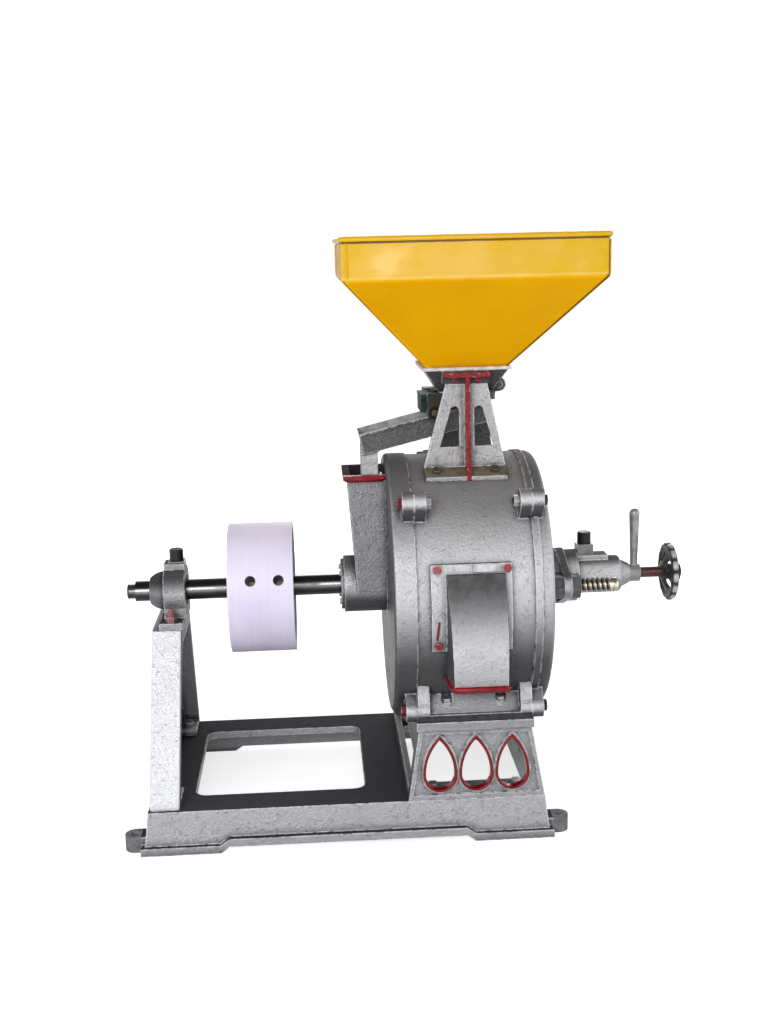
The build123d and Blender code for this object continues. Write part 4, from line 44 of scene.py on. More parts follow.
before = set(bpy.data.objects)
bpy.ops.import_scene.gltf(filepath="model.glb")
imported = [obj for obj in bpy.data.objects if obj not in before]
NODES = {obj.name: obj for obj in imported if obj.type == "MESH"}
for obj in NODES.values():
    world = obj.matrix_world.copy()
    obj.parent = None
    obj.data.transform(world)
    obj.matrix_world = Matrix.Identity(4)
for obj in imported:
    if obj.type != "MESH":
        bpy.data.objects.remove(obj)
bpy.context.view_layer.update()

# Places that the frame gives
SHAFT_LOW, SHAFT_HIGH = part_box("main_shaft")
SHAFT_Z = (SHAFT_LOW.z + SHAFT_HIGH.z) / 2
HOPPER_LOW, HOPPER_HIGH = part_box("hopper")
STAND_LOW, STAND_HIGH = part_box("mill_stand")
OUTLET_LOW, OUTLET_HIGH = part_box("flour_outlet")
CHUTE_LOW, CHUTE_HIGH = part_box("feed_inlet_chute")
BRACKET_LOW, BRACKET_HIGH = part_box("hopper_bracket_front")
STUD_LOW, STUD_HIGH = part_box("adjuster_studs")
SCREW_LOW, SCREW_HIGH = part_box("adjusting_screw")
WHEEL_LOW, WHEEL_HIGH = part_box("handwheel")
SHOE_LOW, SHOE_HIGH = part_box("feed_shoe")
STAND_X = (STAND_LOW.x + STAND_HIGH.x) / 2

UP = np.array([[0.0, 0.0, 1.0]])
FAR = 9.0
MERGE = 1e-6


def srgb(red, green, blue):
    """A screen colour from 0 to 255 as linear light: each part is (c + 0.055) / 1.055 to the power 2.4."""
    return tuple(((c / 255 + 0.055) / 1.055) ** 2.4 for c in (red, green, blue))


def shade(hue, factor):
    """A colour made darker or lighter by a factor."""
    return [min(1.0, factor * c) for c in hue]


def colour(name, words, value):
    """A colour property with its default."""
    return FloatVectorProperty(
        name=name, description=words, subtype="COLOR", size=3, min=0.0, max=1.0, default=value
    )


def size(name, words, value, low=0.0, high=1.0):
    """A length property in metres with its default."""
    return FloatProperty(
        name=name, description=words, subtype="DISTANCE", unit="LENGTH", default=value, min=low, max=high
    )


def power(name, words, value):
    """A lamp's power in watts with its default."""
    return FloatProperty(name=name, description=words, subtype="POWER", unit="POWER", default=value)


class MillColours(bpy.types.PropertyGroup):
    """Paints and bare metals of the mill."""

    silver: colour("Silver", "Aluminium paint on the castings", srgb(186, 187, 191))
    # Both real dirt and the colour of painted shade on ledges, below, on flanks and in corners.
    grime_and_shade: colour("Grime", "Oil and dust on ledges and in corners", srgb(40, 41, 44))
    worn: colour("Worn edge", "Bright metal where edges are rubbed", srgb(238, 238, 240))
    red: colour("Red", "Enamel on lips, rims, ribs and some bolts", srgb(138, 10, 22))
    chips: colour("Chips", "Primer that shows where enamel is chipped", srgb(220, 206, 206))
    yellow: colour("Yellow", "Paint on the hopper's slopes", srgb(243, 179, 1))
    yellow_deep: colour("Deep yellow", "The hopper's paint where it lies thick", srgb(235, 170, 1))
    yellow_band: colour("Band yellow", "Gloss paint on the hopper's upright band", srgb(216, 169, 5))
    pulley: colour("Pulley", "Pale violet paint on the belt pulley", srgb(230, 224, 244))
    steel: colour("Steel", "Oiled steel of the shaft", srgb(112, 111, 110))
    black: colour("Black", "Blackened steel of nuts and bolts", srgb(36, 35, 35))
    stud: colour("Stud steel", "Oiled golden steel of the studs", srgb(216, 210, 194))
    screw: colour("Screw steel", "Rusted steel of the adjusting screw", srgb(88, 56, 54))
    iron: colour("Iron", "Dark cast iron of the handwheel", srgb(44, 44, 46))
    stone: colour("Millstone", "Dressed grit of the stones", srgb(186, 178, 162))
    brass: colour("Brass", "Bored bushes", srgb(120, 100, 68))
    olive: colour("Olive", "Drab paint on the brackets' feet", srgb(112, 107, 92))
    gate: colour("Gate", "Dark green grey paint of the feed gate", srgb(38, 52, 54))
    # On the throat this dark grey is painted shade of its front, which slopes inwards going down.
    sheet: colour("Sheet", "Dark grey paint of throat and feed shoe", srgb(86, 86, 88))


class MillShapes(bpy.types.PropertyGroup):
    """Sizes of the details that are added to the frame."""

    stud_pitch: size("Stud pitch", "Thread pitch of the two studs", 0.0096)
    stud_depth: size("Stud thread depth", "Depth of the studs' thread", 0.0046)
    screw_pitch: size("Screw pitch", "Thread pitch of the adjusting screw", 0.005)
    screw_depth: size("Screw thread depth", "Depth of the screw's thread", 0.0006)
    lobes: IntProperty(
        name="Lobes", description="Lobes round the handwheel's grip", default=14, min=3, max=40
    )
    lobe_depth: size("Lobe depth", "Depth of the hollows between the handwheel's lobes", 0.0048)
    rim_radius: size("Rolled rim", "Radius of the wire roll round the hopper's top", 0.0054)
    seam_width: size("Seam width", "Width of the lapped seams at the hopper's corners", 0.011)
    seam_height: size("Seam height", "Thickness of the lapped seams", 0.0016)
    bead_radius: size("Weld bead", "Radius of the bead round the shoe's spout", 0.0034)
    grain: size("Casting grain", "Size of the lumps in the cast skin", 0.0024, 0.0005, 0.02)
    skin: size("Skin depth", "Depth of the cast skin's lumps", 0.0018, 0.0, 0.01)
    edge: size("Edge round", "Radius of the softened edges of castings", 0.0042, 0.0, 0.02)


class MillStage(bpy.types.PropertyGroup):
    """Camera and light."""

    lens: FloatProperty(
        name="Lens", description="Focal length on a 36 mm sensor", subtype="DISTANCE_CAMERA", default=44.3
    )
    key: power("Key", "Power of the large front light", 98.0)
    fill: power("Fill", "Power of the light on the right", 32.0)
    side: power("Side", "Power of the light on the left", 24.0)
    back: power("Back", "Power of the light behind", 64.0)
    ambient: FloatProperty(
        name="Ambient", description="Strength of the room's light", default=0.26, min=0.0, max=2.0
    )


# Meshes from grids of points


def sheet_of(points, loop_rows=False, loop_cols=False):
    """A grid of points, rows by columns by XYZ, and whether its rows or columns join up again."""
    return np.asarray(points, float), int(loop_rows), int(loop_cols)


def piece(name, sheets, finish, body, stands_for=(), crease=40.0):
    """Joins grids into one mesh of quads, merges doubles, turns faces outwards and rides on a body."""
    corners = []
    quads = []
    count = 0
    for points, loop_rows, loop_cols in sheets:
        rows, cols = points.shape[:2]
        index = count + np.arange(rows * cols).reshape(rows, cols)
        down = np.roll(index, -1, 0)
        across = np.roll(index, -1, 1)
        both = np.roll(down, -1, 1)
        faces = np.stack((index, across, both, down), -1)
        quads.append(faces[: rows - 1 + loop_rows, : cols - 1 + loop_cols].reshape(-1, 4))
        corners.append(points.reshape(-1, 3))
        count += rows * cols
    mesh = bpy.data.meshes.new(name)
    mesh.from_pydata(np.concatenate(corners).tolist(), [], np.concatenate(quads).tolist())
    work = bmesh.new()
    work.from_mesh(mesh)
    bmesh.ops.remove_doubles(work, verts=work.verts, dist=MERGE)
    bmesh.ops.dissolve_degenerate(work, edges=work.edges, dist=MERGE / 10)
    bmesh.ops.recalc_face_normals(work, faces=work.faces)
    work.to_mesh(mesh)
    work.free()
    shown(mesh, finish, body, stands_for, crease)


def shown(mesh, finish, body, stands_for, crease=40.0):
    """Shades and paints a mesh, and puts it on a body, in place of the CAD nodes that it stands for."""
    mesh.shade_smooth()
    mesh.set_sharp_from_angle(angle=math.radians(crease))
    mesh.materials.append(finish)
    made = bpy.data.objects.new(mesh.name, mesh)
    bpy.context.scene.collection.objects.link(made)
    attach(made, body)
    if stands_for:
        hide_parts(*stands_for)


def unit(rows):
    """Each vector at length 1."""
    return rows / np.linalg.norm(rows, axis=-1, keepdims=True)


def full_turn(count):
    """Angles that go once round."""
    return np.linspace(0, 2 * math.pi, count, endpoint=False)


def grid_of(x, y, z):
    """Points from three grids, or from rows, columns and single values that spread out to one."""
    return np.stack(np.broadcast_arrays(x, y, z), -1)


def squared(wave, power):
    """A sine or cosine that a power below 1 makes squarer."""
    return np.sign(wave) * np.abs(wave) ** power


def around_x(along, out, centre, sides):
    """Rings about a line along X: a point is (along, centre + out * cos, centre + out * sin)."""
    turn = full_turn(sides)
    grid = grid_of(along[:, None], centre[0] + out * np.cos(turn), centre[1] + out * np.sin(turn))
    return sheet_of(grid, loop_cols=True)


def turned(stations, radii, centre, sides=48):
    """Round stock along X: each station is a circle of its radius, closed to points at both ends."""
    along = np.concatenate((stations[:1], stations, stations[-1:]))
    out = np.concatenate(([0.0], radii, [0.0]))
    return around_x(along, out[:, None], centre, sides)


def threaded(start, stop, plain_stop, radius, pitch, depth, centre, chamfer, sides=40):
    """Screwed rod along X: radius less depth times a rounded ridge of phase x / pitch - turn, which fades
    out towards both ends."""
    steps = max(math.ceil((stop - plain_stop) / pitch * 12), 2)
    along = np.concatenate(([start, start, start + chamfer], np.linspace(plain_stop, stop, steps), [stop]))
    phase = along[:, None] / pitch - np.arange(sides) / sides
    ridge = (0.5 - 0.5 * np.cos(2 * math.pi * phase)) ** 0.8
    fade = np.clip(np.minimum(along - plain_stop, stop - along) / pitch, 0, 1)[:, None]
    out = radius - depth * ridge * fade
    out[0] = 0
    out[1] = radius - chamfer
    out[-2] = radius - 1.2 * depth
    out[-1] = 0
    return around_x(along, out, centre, sides)


def capped(grid):
    """A tube closed at both ends by the middles of its end rings."""
    middle = np.repeat(grid.mean(1, keepdims=True), grid.shape[1], 1)
    return np.concatenate((middle[:1], grid, middle[-1:]))


def swept(path, across, up, profile, closed=True):
    """A closed profile of (side, height) pairs, one for all or one for each point, carried along a path:
    point = path + side * across + height * up."""
    grid = path[:, None, :] + profile[..., :1] * across[:, None, :] + profile[..., 1:] * up[:, None, :]
    return sheet_of(grid if closed else capped(grid), loop_rows=closed, loop_cols=True)


def ring(radius, sides):
    """A round profile."""
    turn = full_turn(sides)
    return np.stack((radius * np.cos(turn), radius * np.sin(turn)), -1)


def lip_path(left, right, front, back, level, bend):
    """A level path round a lip: forward on its left, round two quarter circles, and back on its right."""
    turn = np.linspace(0, math.pi / 2, 7)
    corner = bend * np.stack((1 - np.cos(turn), 1 - np.sin(turn)), -1)
    side = np.concatenate(([(0.0, back - front)], corner)) + (0.0, front)
    flat = np.concatenate((side + (left, 0.0), side[::-1] * (-1, 1) + (right, 0.0)))
    return grid_of(flat[:, 0], flat[:, 1], level)


def lip_roll(path, profile):
    """A bar along a level path, closed at both ends."""
    return swept(path, np.cross(unit(np.gradient(path, axis=0)), UP), UP, profile, closed=False)


def quarter_turn(k):
    """What turns rows of (x, y) by k right angles."""
    c = round(math.cos(k * math.pi / 2))
    s = round(math.sin(k * math.pi / 2))
    return np.array([[c, s], [-s, c]])


def rounded_square(half, corner, straight, arc):
    """Points round a square with rounded corners: four straight runs, each followed by a quarter circle."""
    run = np.linspace(-1, 1, straight, endpoint=False)
    turn = np.linspace(0, math.pi / 2, arc, endpoint=False)
    side = np.stack((run * (half - corner), np.full(straight, -half)), -1)
    bend = np.stack((half - corner + corner * np.sin(turn), corner - half - corner * np.cos(turn)), -1)
    quarter = np.concatenate((side, bend))
    return np.concatenate([quarter @ quarter_turn(k) for k in range(4)])


# Finishes


def zone(x=(None, None), y=(None, None), z=(None, None)):
    """A box: its two ends along each axis, None where it is open."""
    return x, y, z


def mark(hue, glossy=False, tilt=None, **ends):
    """A painted mark: its zone, its colour, whether it is glossy and chipped, and None, or the two tilts of a
    face between which it fades in."""
    return zone(**ends), hue, glossy, tilt


class Nodes:
    """A node tree: each method adds nodes and hands back an output."""

    def __init__(self, tree):
        self.tree = tree

    def add(self, kind, inputs=None, output=0, **settings):
        """Adds a node, sets it up, feeds its inputs and hands back one output."""
        node = self.tree.nodes.new("ShaderNode" + kind)
        for key, value in settings.items():
            setattr(node, key, value)
        for key, value in (inputs or {}).items():
            self.feed(node.inputs[key], value)
        return node.outputs[output]

    def feed(self, socket, value):
        """Links an output to a socket, or sets the socket's own value."""
        if isinstance(value, bpy.types.NodeSocket):
            self.tree.links.new(value, socket)
        elif socket.type == "RGBA":
            socket.default_value = (*value[:3], 1.0)
        else:
            socket.default_value = value

    def step(self, value, low, high, first=0.0, last=1.0):
        """First below low, last above high, smooth between."""
        inputs = {"Value": value, "From Min": low, "From Max": high, "To Min": first, "To Max": last}
        return self.add("MapRange", inputs, interpolation_type="SMOOTHSTEP")

    def calc(self, operation, *values):
        """Arithmetic on one, two or three values."""
        return self.add("Math", dict(enumerate(values)), operation=operation)

    def scaled(self, value, factor, offset):
        """Value * factor + offset."""
        return self.calc("MULTIPLY_ADD", value, factor, offset)

    def vector(self, operation, *values, output="Vector"):
        """Arithmetic on one or two vectors."""
        return self.add("VectorMath", dict(enumerate(values)), output, operation=operation)

    def times(self, *values):
        """The product of several values."""
        result = values[0]
        for value in values[1:]:
            result = self.calc("MULTIPLY", result, value)
        return result

    def part(self, vector, axis):
        """One part of a vector, by its letter."""
        return self.add("SeparateXYZ", {0: vector}, axis)

    def seen(self):
        """1 for a ray that the camera sends, straight, off a mirror or through glass."""
        path = self.tree.nodes.new("ShaderNodeLightPath").outputs
        seen = self.calc("MAXIMUM", path["Is Camera Ray"], path["Is Glossy Ray"])
        return self.calc("MAXIMUM", seen, path["Is Transmission Ray"])


class Finish(Nodes):
    """One procedural finish, whose tone is built up in layers."""

    def __init__(self, name, tone=(0.8, 0.8, 0.8), metallic=0.0, specular=0.5):
        self.tone = tone
        self.material = bpy.data.materials.new(name)
        self.material.use_nodes = True
        super().__init__(self.material.node_tree)
        self.shader = self.tree.nodes["Principled BSDF"]
        self.give("Metallic", metallic)
        self.give("Specular IOR Level", specular)
        self.place = self.add("TexCoord", output="Object")
        self.facing = self.add("NewGeometry", output="Normal")
        self.shaken = None

    def give(self, socket, value):
        """Feeds one of the shader's sockets."""
        self.feed(self.shader.inputs[socket], value)

    def noise(self, scale, detail=3.0, stretch=None):
        """Cloudy noise on Object coordinates, which may be stretched along an axis."""
        place = self.place
        if stretch:
            place = self.add("Mapping", {"Vector": place, "Scale": stretch})
        return self.add("TexNoise", {"Vector": place, "Scale": scale, "Detail": detail}, "Fac")

    def patches(self, scale, low, high, detail=3.0, stretch=None):
        """Patches of noise: 0 where it is below low, 1 where it is above high."""
        return self.step(self.noise(scale, detail, stretch), low, high)

    def mix(self, factor, first, second):
        """The first colour at 0, the second at 1."""
        return self.add("Mix", {0: factor, 6: first, 7: second}, 2, data_type="RGBA")

    def blend(self, factor, first, second):
        """The first value at 0, the second at 1."""
        return self.add("Mix", {0: factor, 2: first, 3: second})

    def cover(self, hue, *shares):
        """Lays a colour over the tone, by the product of its shares."""
        self.tone = self.mix(self.times(*shares), self.tone, hue)

    def tilt(self, axis="Z"):
        """How far the surface faces along an axis."""
        return self.part(self.facing, axis)

    def sideways(self):
        """How far the surface faces either way along the shaft."""
        return self.calc("ABSOLUTE", self.tilt("X"))

    def spoke(self):
        """The way from the shaft's axis, square to it."""
        flat = self.vector("MULTIPLY", self.place, (0.0, 1.0, 1.0))
        return self.vector("SUBTRACT", flat, (0.0, 0.0, SHAFT_Z))

    def from_axis(self):
        """Distance from the shaft's axis."""
        return self.vector("LENGTH", self.spoke(), output="Value")

    def within(self, box, slack=0.0006):
        """1 inside a box, whose sides are unsteady like a brush line."""
        if self.shaken is None:
            blur = self.add("TexNoise", {"Vector": self.place, "Scale": 150.0, "Detail": 2.0}, "Color")
            offset = self.vector("SUBTRACT", blur, (0.5, 0.5, 0.5))
            offset = self.add("VectorMath", {0: offset, 3: 2 * slack}, operation="SCALE")
            self.shaken = self.vector("ADD", self.place, offset)
        tests = []
        for axis, (least, most) in zip("XYZ", box):
            if least is None and most is None:
                continue
            least = -FAR if least is None else least
            most = FAR if most is None else most
            value = self.part(self.shaken, axis)
            tests.append(self.calc("COMPARE", value, (least + most) / 2, (most - least) / 2))
        return self.times(*tests)

    def edges(self, radius):
        """The surface's direction with its edges rounded off, and a mask of those edges."""
        soft = self.add("Bevel", {"Radius": radius}, samples=4)
        turn = self.vector("DOT_PRODUCT", soft, self.facing, output="Value")
        return soft, self.step(turn, 0.99, 0.9)

    def open_sky(self, reach, samples):
        """How open the surface lies within a reach, 0 in a closed corner."""
        return self.add("AmbientOcclusion", {"Distance": reach}, "AO", samples=samples)

    def bump(self, height, distance, strength=1.0, normal=None):
        """Raises the surface's direction by a height."""
        inputs = {"Height": height, "Distance": distance, "Strength": strength}
        if normal is not None:
            inputs["Normal"] = normal
        return self.add("Bump", inputs)

    def done(self, roughness, normal):
        """Feeds the shader and hands back the material."""
        self.give("Base Color", self.tone)
        self.give("Roughness", roughness)
        self.give("Normal", normal)
        return self.material


def casting(
    context, name, hue=None, bright=0.0, ledge=0.8, rise=(0.3, 0.9), top=None, flank=-0.3, under=0.4, marks=()
):
    """Aluminium paint on a casting: fine grain, pits and worn edges, and painted shade, with some dirt,
    on ledges, below, on the flanks and in corners.
    Bright is how far the paint goes towards bare metal.
    Rise is how far a face leans back where the ledge colour starts and where it is full.
    Flank is how much painted shade darkens the faces towards the wheel, or away from it where it is negative."""
    hues = context.scene.mill_colours
    shapes = context.scene.mill_shapes
    hue = hues.silver if hue is None else hue
    fine = 1.0 / shapes.grain
    finish = Finish(name, shade(hue, 0.88))
    soft, rim = finish.edges(shapes.edge)
    aim = finish.tilt()
    grain = finish.noise(fine, 2.0)
    lumps = finish.noise(0.42 * fine)
    swell = finish.noise(0.14 * fine, 2.0)
    flaws = finish.patches(0.26 * fine, 0.60, 0.68, 4.0)
    finish.cover(shade(hue, 1.08), finish.step(grain, 0.34, 0.66))
    finish.cover(shade(hue, 0.6), finish.patches(16.0, 0.45, 0.75), 0.14)
    if bright:
        finish.cover(hues.worn, bright)
    finish.cover(hues.grime_and_shade, flaws, 0.1)
    # Up-facing faces take the ledge colour: painted shade with some dirt, or the top colour where one is
    # given.
    dust_and_shade = finish.times(finish.step(aim, *rise), ledge)
    finish.cover(hues.grime_and_shade if top is None else top, dust_and_shade)
    # Painted shade on faces that look down.
    below = finish.times(finish.step(aim, 0.2, -0.44), under)
    finish.cover(hues.grime_and_shade, below)
    # Painted shade on the flanks along the shaft, on the side that the sign of flank picks.
    lee = finish.times(finish.tilt("X"), math.copysign(1.0, flank))
    finish.cover(hues.grime_and_shade, finish.step(lee, 0.45, 0.88), abs(flank))
    # Painted shade in corners and creases, where the open sky is closed in.
    finish.cover(hues.grime_and_shade, finish.step(finish.open_sky(0.016, 4), 0.96, 0.45), 0.95)
    finish.cover(hues.worn, rim, finish.patches(70.0, 0.34, 0.54), 0.85)
    gloss = finish.scaled(finish.patches(40.0, 0.3, 0.7), 0.12, 0.38)
    roughness = finish.blend(dust_and_shade, gloss, 0.8)
    sheen = finish.calc("SUBTRACT", 1.0, finish.calc("MAXIMUM", dust_and_shade, below))
    specular = finish.scaled(sheen, 0.3, 0.08)
    for box, paint, glossy, tilt in marks:
        mask = finish.within(box)
        if tilt:
            mask = finish.times(mask, finish.step(aim, *tilt))
        coat = finish.mix(finish.patches(60.0, 0.3, 0.8, 2.0), paint, shade(paint, 0.62))
        if glossy:
            chips = finish.times(rim, finish.patches(90.0, 0.56, 0.66), 0.7)
            coat = finish.mix(chips, coat, hues.chips)
        finish.cover(coat, mask)
        roughness = finish.blend(mask, roughness, 0.2 if glossy else 0.85)
        specular = finish.blend(mask, specular, 0.25 if glossy else 0.04)
        sheen = finish.times(sheen, finish.scaled(mask, -0.9, 1.0))
    finish.give("Metallic", finish.times(sheen, 0.42))
    finish.give("Specular IOR Level", specular)
    height = finish.scaled(swell, 0.8, finish.scaled(lumps, 1.3, grain))
    height = finish.scaled(flaws, -0.5, height)
    return finish.done(roughness, finish.bump(height, shapes.skin, 0.95, soft))


def enamel(context, name, hue, chip_hue=None, chipped=0.52):
    """Gloss enamel brushed over metal: slightly uneven colour, painted shade below, chips along the edges."""
    finish = Finish(name, hue, specular=0.25)
    soft, rim = finish.edges(0.0015)
    finish.cover(shade(hue, 0.55), finish.patches(60.0, 0.3, 0.75))
    # Painted shade on the faces that look down.
    finish.cover(shade(hue, 0.3), finish.step(finish.tilt(), -0.1, -0.7), 0.6)
    chips = finish.patches(170.0, chipped, chipped + 0.08)
    finish.cover(context.scene.mill_colours.chips if chip_hue is None else chip_hue, rim, chips)
    shine = finish.scaled(finish.noise(90.0), 0.16, 0.12)
    return finish.done(shine, finish.bump(finish.noise(220.0, 2.0), 0.0006, 0.5, soft))


def turned_metal(context, name, hue, roughness=0.24, dirt=0.35, painted_shading=0.0, roots=None):
    """Bare metal off the lathe: fine rings along X, stains, and painted shade above and below, which leaves
    a painted highlight along the middle.
    Roots gives a thread's distance from the middle, and the radii where painted shade in its grooves is full
    and where it stops."""
    hues = context.scene.mill_colours
    finish = Finish(name, hue, metallic=1.0)
    soft, rim = finish.edges(0.0012)
    rings = finish.noise(700.0, 2.0, (1.0, 0.02, 0.02))
    stain = finish.patches(26.0, 0.45, 0.75, 4.0)
    finish.cover(hues.grime_and_shade, stain, dirt)
    finish.cover(shade(hue, 1.35), rim, 0.5)
    if painted_shading:
        # Painted shade above and below, which leaves a painted highlight strip along the middle.
        aim = finish.tilt()
        dark_band = finish.calc("MAXIMUM", finish.step(aim, 0.14, -0.2), finish.step(aim, 0.28, 0.6))
        finish.cover(hues.grime_and_shade, dark_band, painted_shading)
    if roots:
        spread, deep, shade_stop = roots
        across = finish.calc("SUBTRACT", finish.calc("ABSOLUTE", finish.part(finish.place, "Y")), spread)
        up = finish.calc("SUBTRACT", finish.part(finish.place, "Z"), SHAFT_Z)
        out = finish.calc("SQRT", finish.scaled(up, up, finish.times(across, across)))
        around = finish.step(finish.sideways(), 0.95, 0.8)
        # Painted shade in the thread's grooves.
        finish.cover(hues.grime_and_shade, finish.step(out, shade_stop, deep), around)
    shine = finish.scaled(rings, 0.12, finish.scaled(stain, 0.2, roughness))
    return finish.done(shine, finish.bump(rings, 0.0002, 0.4, soft))


def rough_iron(context, name, hue, metallic=0.6, roughness=0.42, grip=None, specular=0.5):
    """Dark iron with its cast skin, rubbed brighter on the edges, and by hands beyond a distance from the
    axis."""
    finish = Finish(name, hue, metallic, specular)
    soft, rim = finish.edges(0.002)
    finish.cover(shade(hue, 0.55), finish.patches(50.0, 0.3, 0.7, 4.0))
    finish.cover(shade(hue, 4.5), rim, finish.patches(100.0, 0.35, 0.6), 0.7)
    if grip:
        held = finish.step(finish.from_axis(), grip, grip + 0.003)
        finish.cover(context.scene.mill_colours.worn, held, 0.5)
    shine = finish.scaled(finish.noise(130.0), 0.2, roughness - 0.1)
    return finish.done(shine, finish.bump(finish.noise(420.0), 0.0005, 0.5, soft))


def grit(name, hue):
    """Dressed millstone: sharp grains of several greys."""
    finish = Finish(name, shade(hue, 0.6), specular=0.2)
    cells = finish.add("TexVoronoi", {"Vector": finish.place, "Scale": 420.0}, "Distance")
    finish.cover(shade(hue, 1.25), finish.noise(300.0, 4.0))
    return finish.done(0.9, finish.bump(cells, 0.0008, 0.7))


def paint_nodes(material, *names):
    """Puts one finish on CAD nodes."""
    for name in names:
        slots = NODES[name].data.materials
        slots.clear()
        slots.append(material)


class MillOperator:
    """What the mill's operators share."""

    bl_options = {"REGISTER"}


class MILL_OT_base(MillOperator, bpy.types.Operator):
    """Paints base, pedestal and stand, and lays a red bead round the stand's teardrops"""

    bl_idname = "mill.base"
    bl_label = "Base and stand"

    apron = 0.3868
    border_height = 0.003
    ledge = 0.016
    lean = 0.014
    half_width = 0.0275
    rim = (0.007, 0.012)
    spacing = 0.068
    margin = 0.0194
    bead = (
        (-0.04, -0.0135), (-0.05, 0.0032), (0.02, 0.0046), (0.16, 0.0055), (0.34, 0.0058),
        (0.52, 0.0054), (0.68, 0.0044), (0.66, 0.0030), (0.3, 0.0), (0.12, -0.0135),
    )

    def outline(self, half, apex, count=30):
        """Teardrop: a half circle below, and above it two arcs of radius (half^2 + apex^2) / (2 half) that
        meet in a point."""
        flank = (half**2 + apex**2) / (2 * half)
        rise = np.linspace(0, math.asin(apex / flank), count)
        low = np.linspace(math.pi, 2 * math.pi, count, endpoint=False)[1:]
        right = np.stack((half - flank + flank * np.cos(rise), flank * np.sin(rise)), -1)
        left = right[-2::-1] * (-1, 1)
        return np.concatenate((right, left, half * np.stack((np.cos(low), np.sin(low)), -1)))

    def rims(self, side):
        """Beads round the three teardrops of one face: each point lies a share of the way from the inner to
        the outer outline, and a height off the leaning face."""
        rise = STAND_HIGH.z - self.ledge - STAND_LOW.z
        tilt = math.atan2(self.lean, rise)
        apex = math.hypot(self.lean, rise) - 2 * self.margin - self.half_width
        inner = self.outline(self.half_width, apex)
        outer = self.outline(self.half_width + self.rim[0], apex + self.rim[1])
        share, height = np.array(self.bead).T
        flat = inner[:, None, :] + share[:, None] * (outer - inner)[:, None, :]
        up = flat[..., 1] - (apex - self.half_width) / 2
        middle = STAND_HIGH.y - self.border_height - self.lean / 2
        y = side * (middle - up * math.sin(tilt) + height * math.cos(tilt))
        z = STAND_LOW.z + rise / 2 + up * math.cos(tilt) + height * math.sin(tilt)
        sheets = []
        for place in (-1, 0, 1):
            x = STAND_X + place * self.spacing - side * flat[..., 0]
            sheets.append(sheet_of(grid_of(x, y, z), True, True))
        return sheets

    def execute(self, context):
        hues = context.scene.mill_colours
        grey = srgb(132, 133, 136)
        ears = [mark(grey, x=(None, -self.apron)), mark(grey, x=(self.apron, None))]
        # The base's dark top colour is painted shade, with some dirt.
        look = casting(
            context, "silver_base", srgb(158, 159, 162), ledge=1.0, rise=(0.5, 0.9), top=srgb(56, 56, 61),
            flank=-0.4, marks=ears,
        )
        paint_nodes(look, "base_frame")
        pale = srgb(212, 213, 218)
        # Flank is painted shade on the pedestal's open right side.
        look = casting(context, "silver_pedestal", pale, ledge=0.5, rise=(0.5, 0.95), flank=0.9)
        paint_nodes(look, "outboard_pedestal")
        look = casting(context, "silver_stand", srgb(150, 151, 154), ledge=0.4, flank=-0.6)
        paint_nodes(look, "mill_stand")
        red = enamel(context, "red_enamel_rims", hues.red)
        for side, name in ((-1, "front"), (1, "rear")):
            piece(f"teardrop_rims_{name}", self.rims(side), red, "frame")
        return {"FINISHED"}


class MILL_OT_drum(MillOperator, bpy.types.Operator):
    """Paints the drum and its covers"""

    bl_idname = "mill.drum"
    bl_label = "Drum and covers"

    seam = 0.001
    dark_band = 0.013

    def execute(self, context):
        # A darker band on the casing's foot, from just below the stand's top to a little above it.
        marks = [mark(srgb(72, 72, 75), z=(STAND_HIGH.z - self.seam, STAND_HIGH.z + self.dark_band))]
        look = casting(context, "silver_drum", ledge=0.66, flank=-0.7, under=0.88, marks=marks)
        paint_nodes(look, "casing_body")
        look = casting(context, "silver_covers", flank=-0.86, under=0.88)
        paint_nodes(look, "feed_side_cover", "wheel_side_cover", "boss_end_plate")
        return {"FINISHED"}


class MILL_OT_inlet(MillOperator, bpy.types.Operator):
    """Paints the feed inlet chute and rolls its red lip"""

    bl_idname = "mill.inlet"
    bl_label = "Feed inlet"

    lip = 0.010
    wall = 0.0122
    depth = 0.060
    thick = 0.0066
    inset = 0.0004
    back = 0.030

    def execute(self, context):
        hues = context.scene.mill_colours
        low = CHUTE_LOW
        high = CHUTE_HIGH
        top = (high.z - self.lip, None)
        front = low.y + self.wall
        across = (low.x + self.wall, high.x - self.wall / 2)
        dark = srgb(58, 46, 52)
        # Painted shade on the wall tops behind the lip and down inside the chute.
        marks = [
            mark(dark, y=(front, None), z=top),
            mark(dark, x=across, y=(front, high.y - self.wall), z=(high.z - self.depth, None)),
            mark(hues.red, True, y=(None, front), z=top),
        ]
        look = casting(context, "silver_chute", srgb(138, 139, 142), ledge=0.6, flank=-0.35, marks=marks)
        paint_nodes(look, "feed_inlet_chute")
        near = low.y + self.thick + self.inset
        left = low.x + self.thick
        right = high.x - self.thick
        path = lip_path(left, right, near, near + self.back, high.z - self.thick, self.thick)
        red = enamel(context, "red_enamel_inlet", hues.red, chipped=0.5)
        piece("inlet_lip_roll", [lip_roll(path, ring(self.thick, 14))], red, "frame")
        return {"FINISHED"}


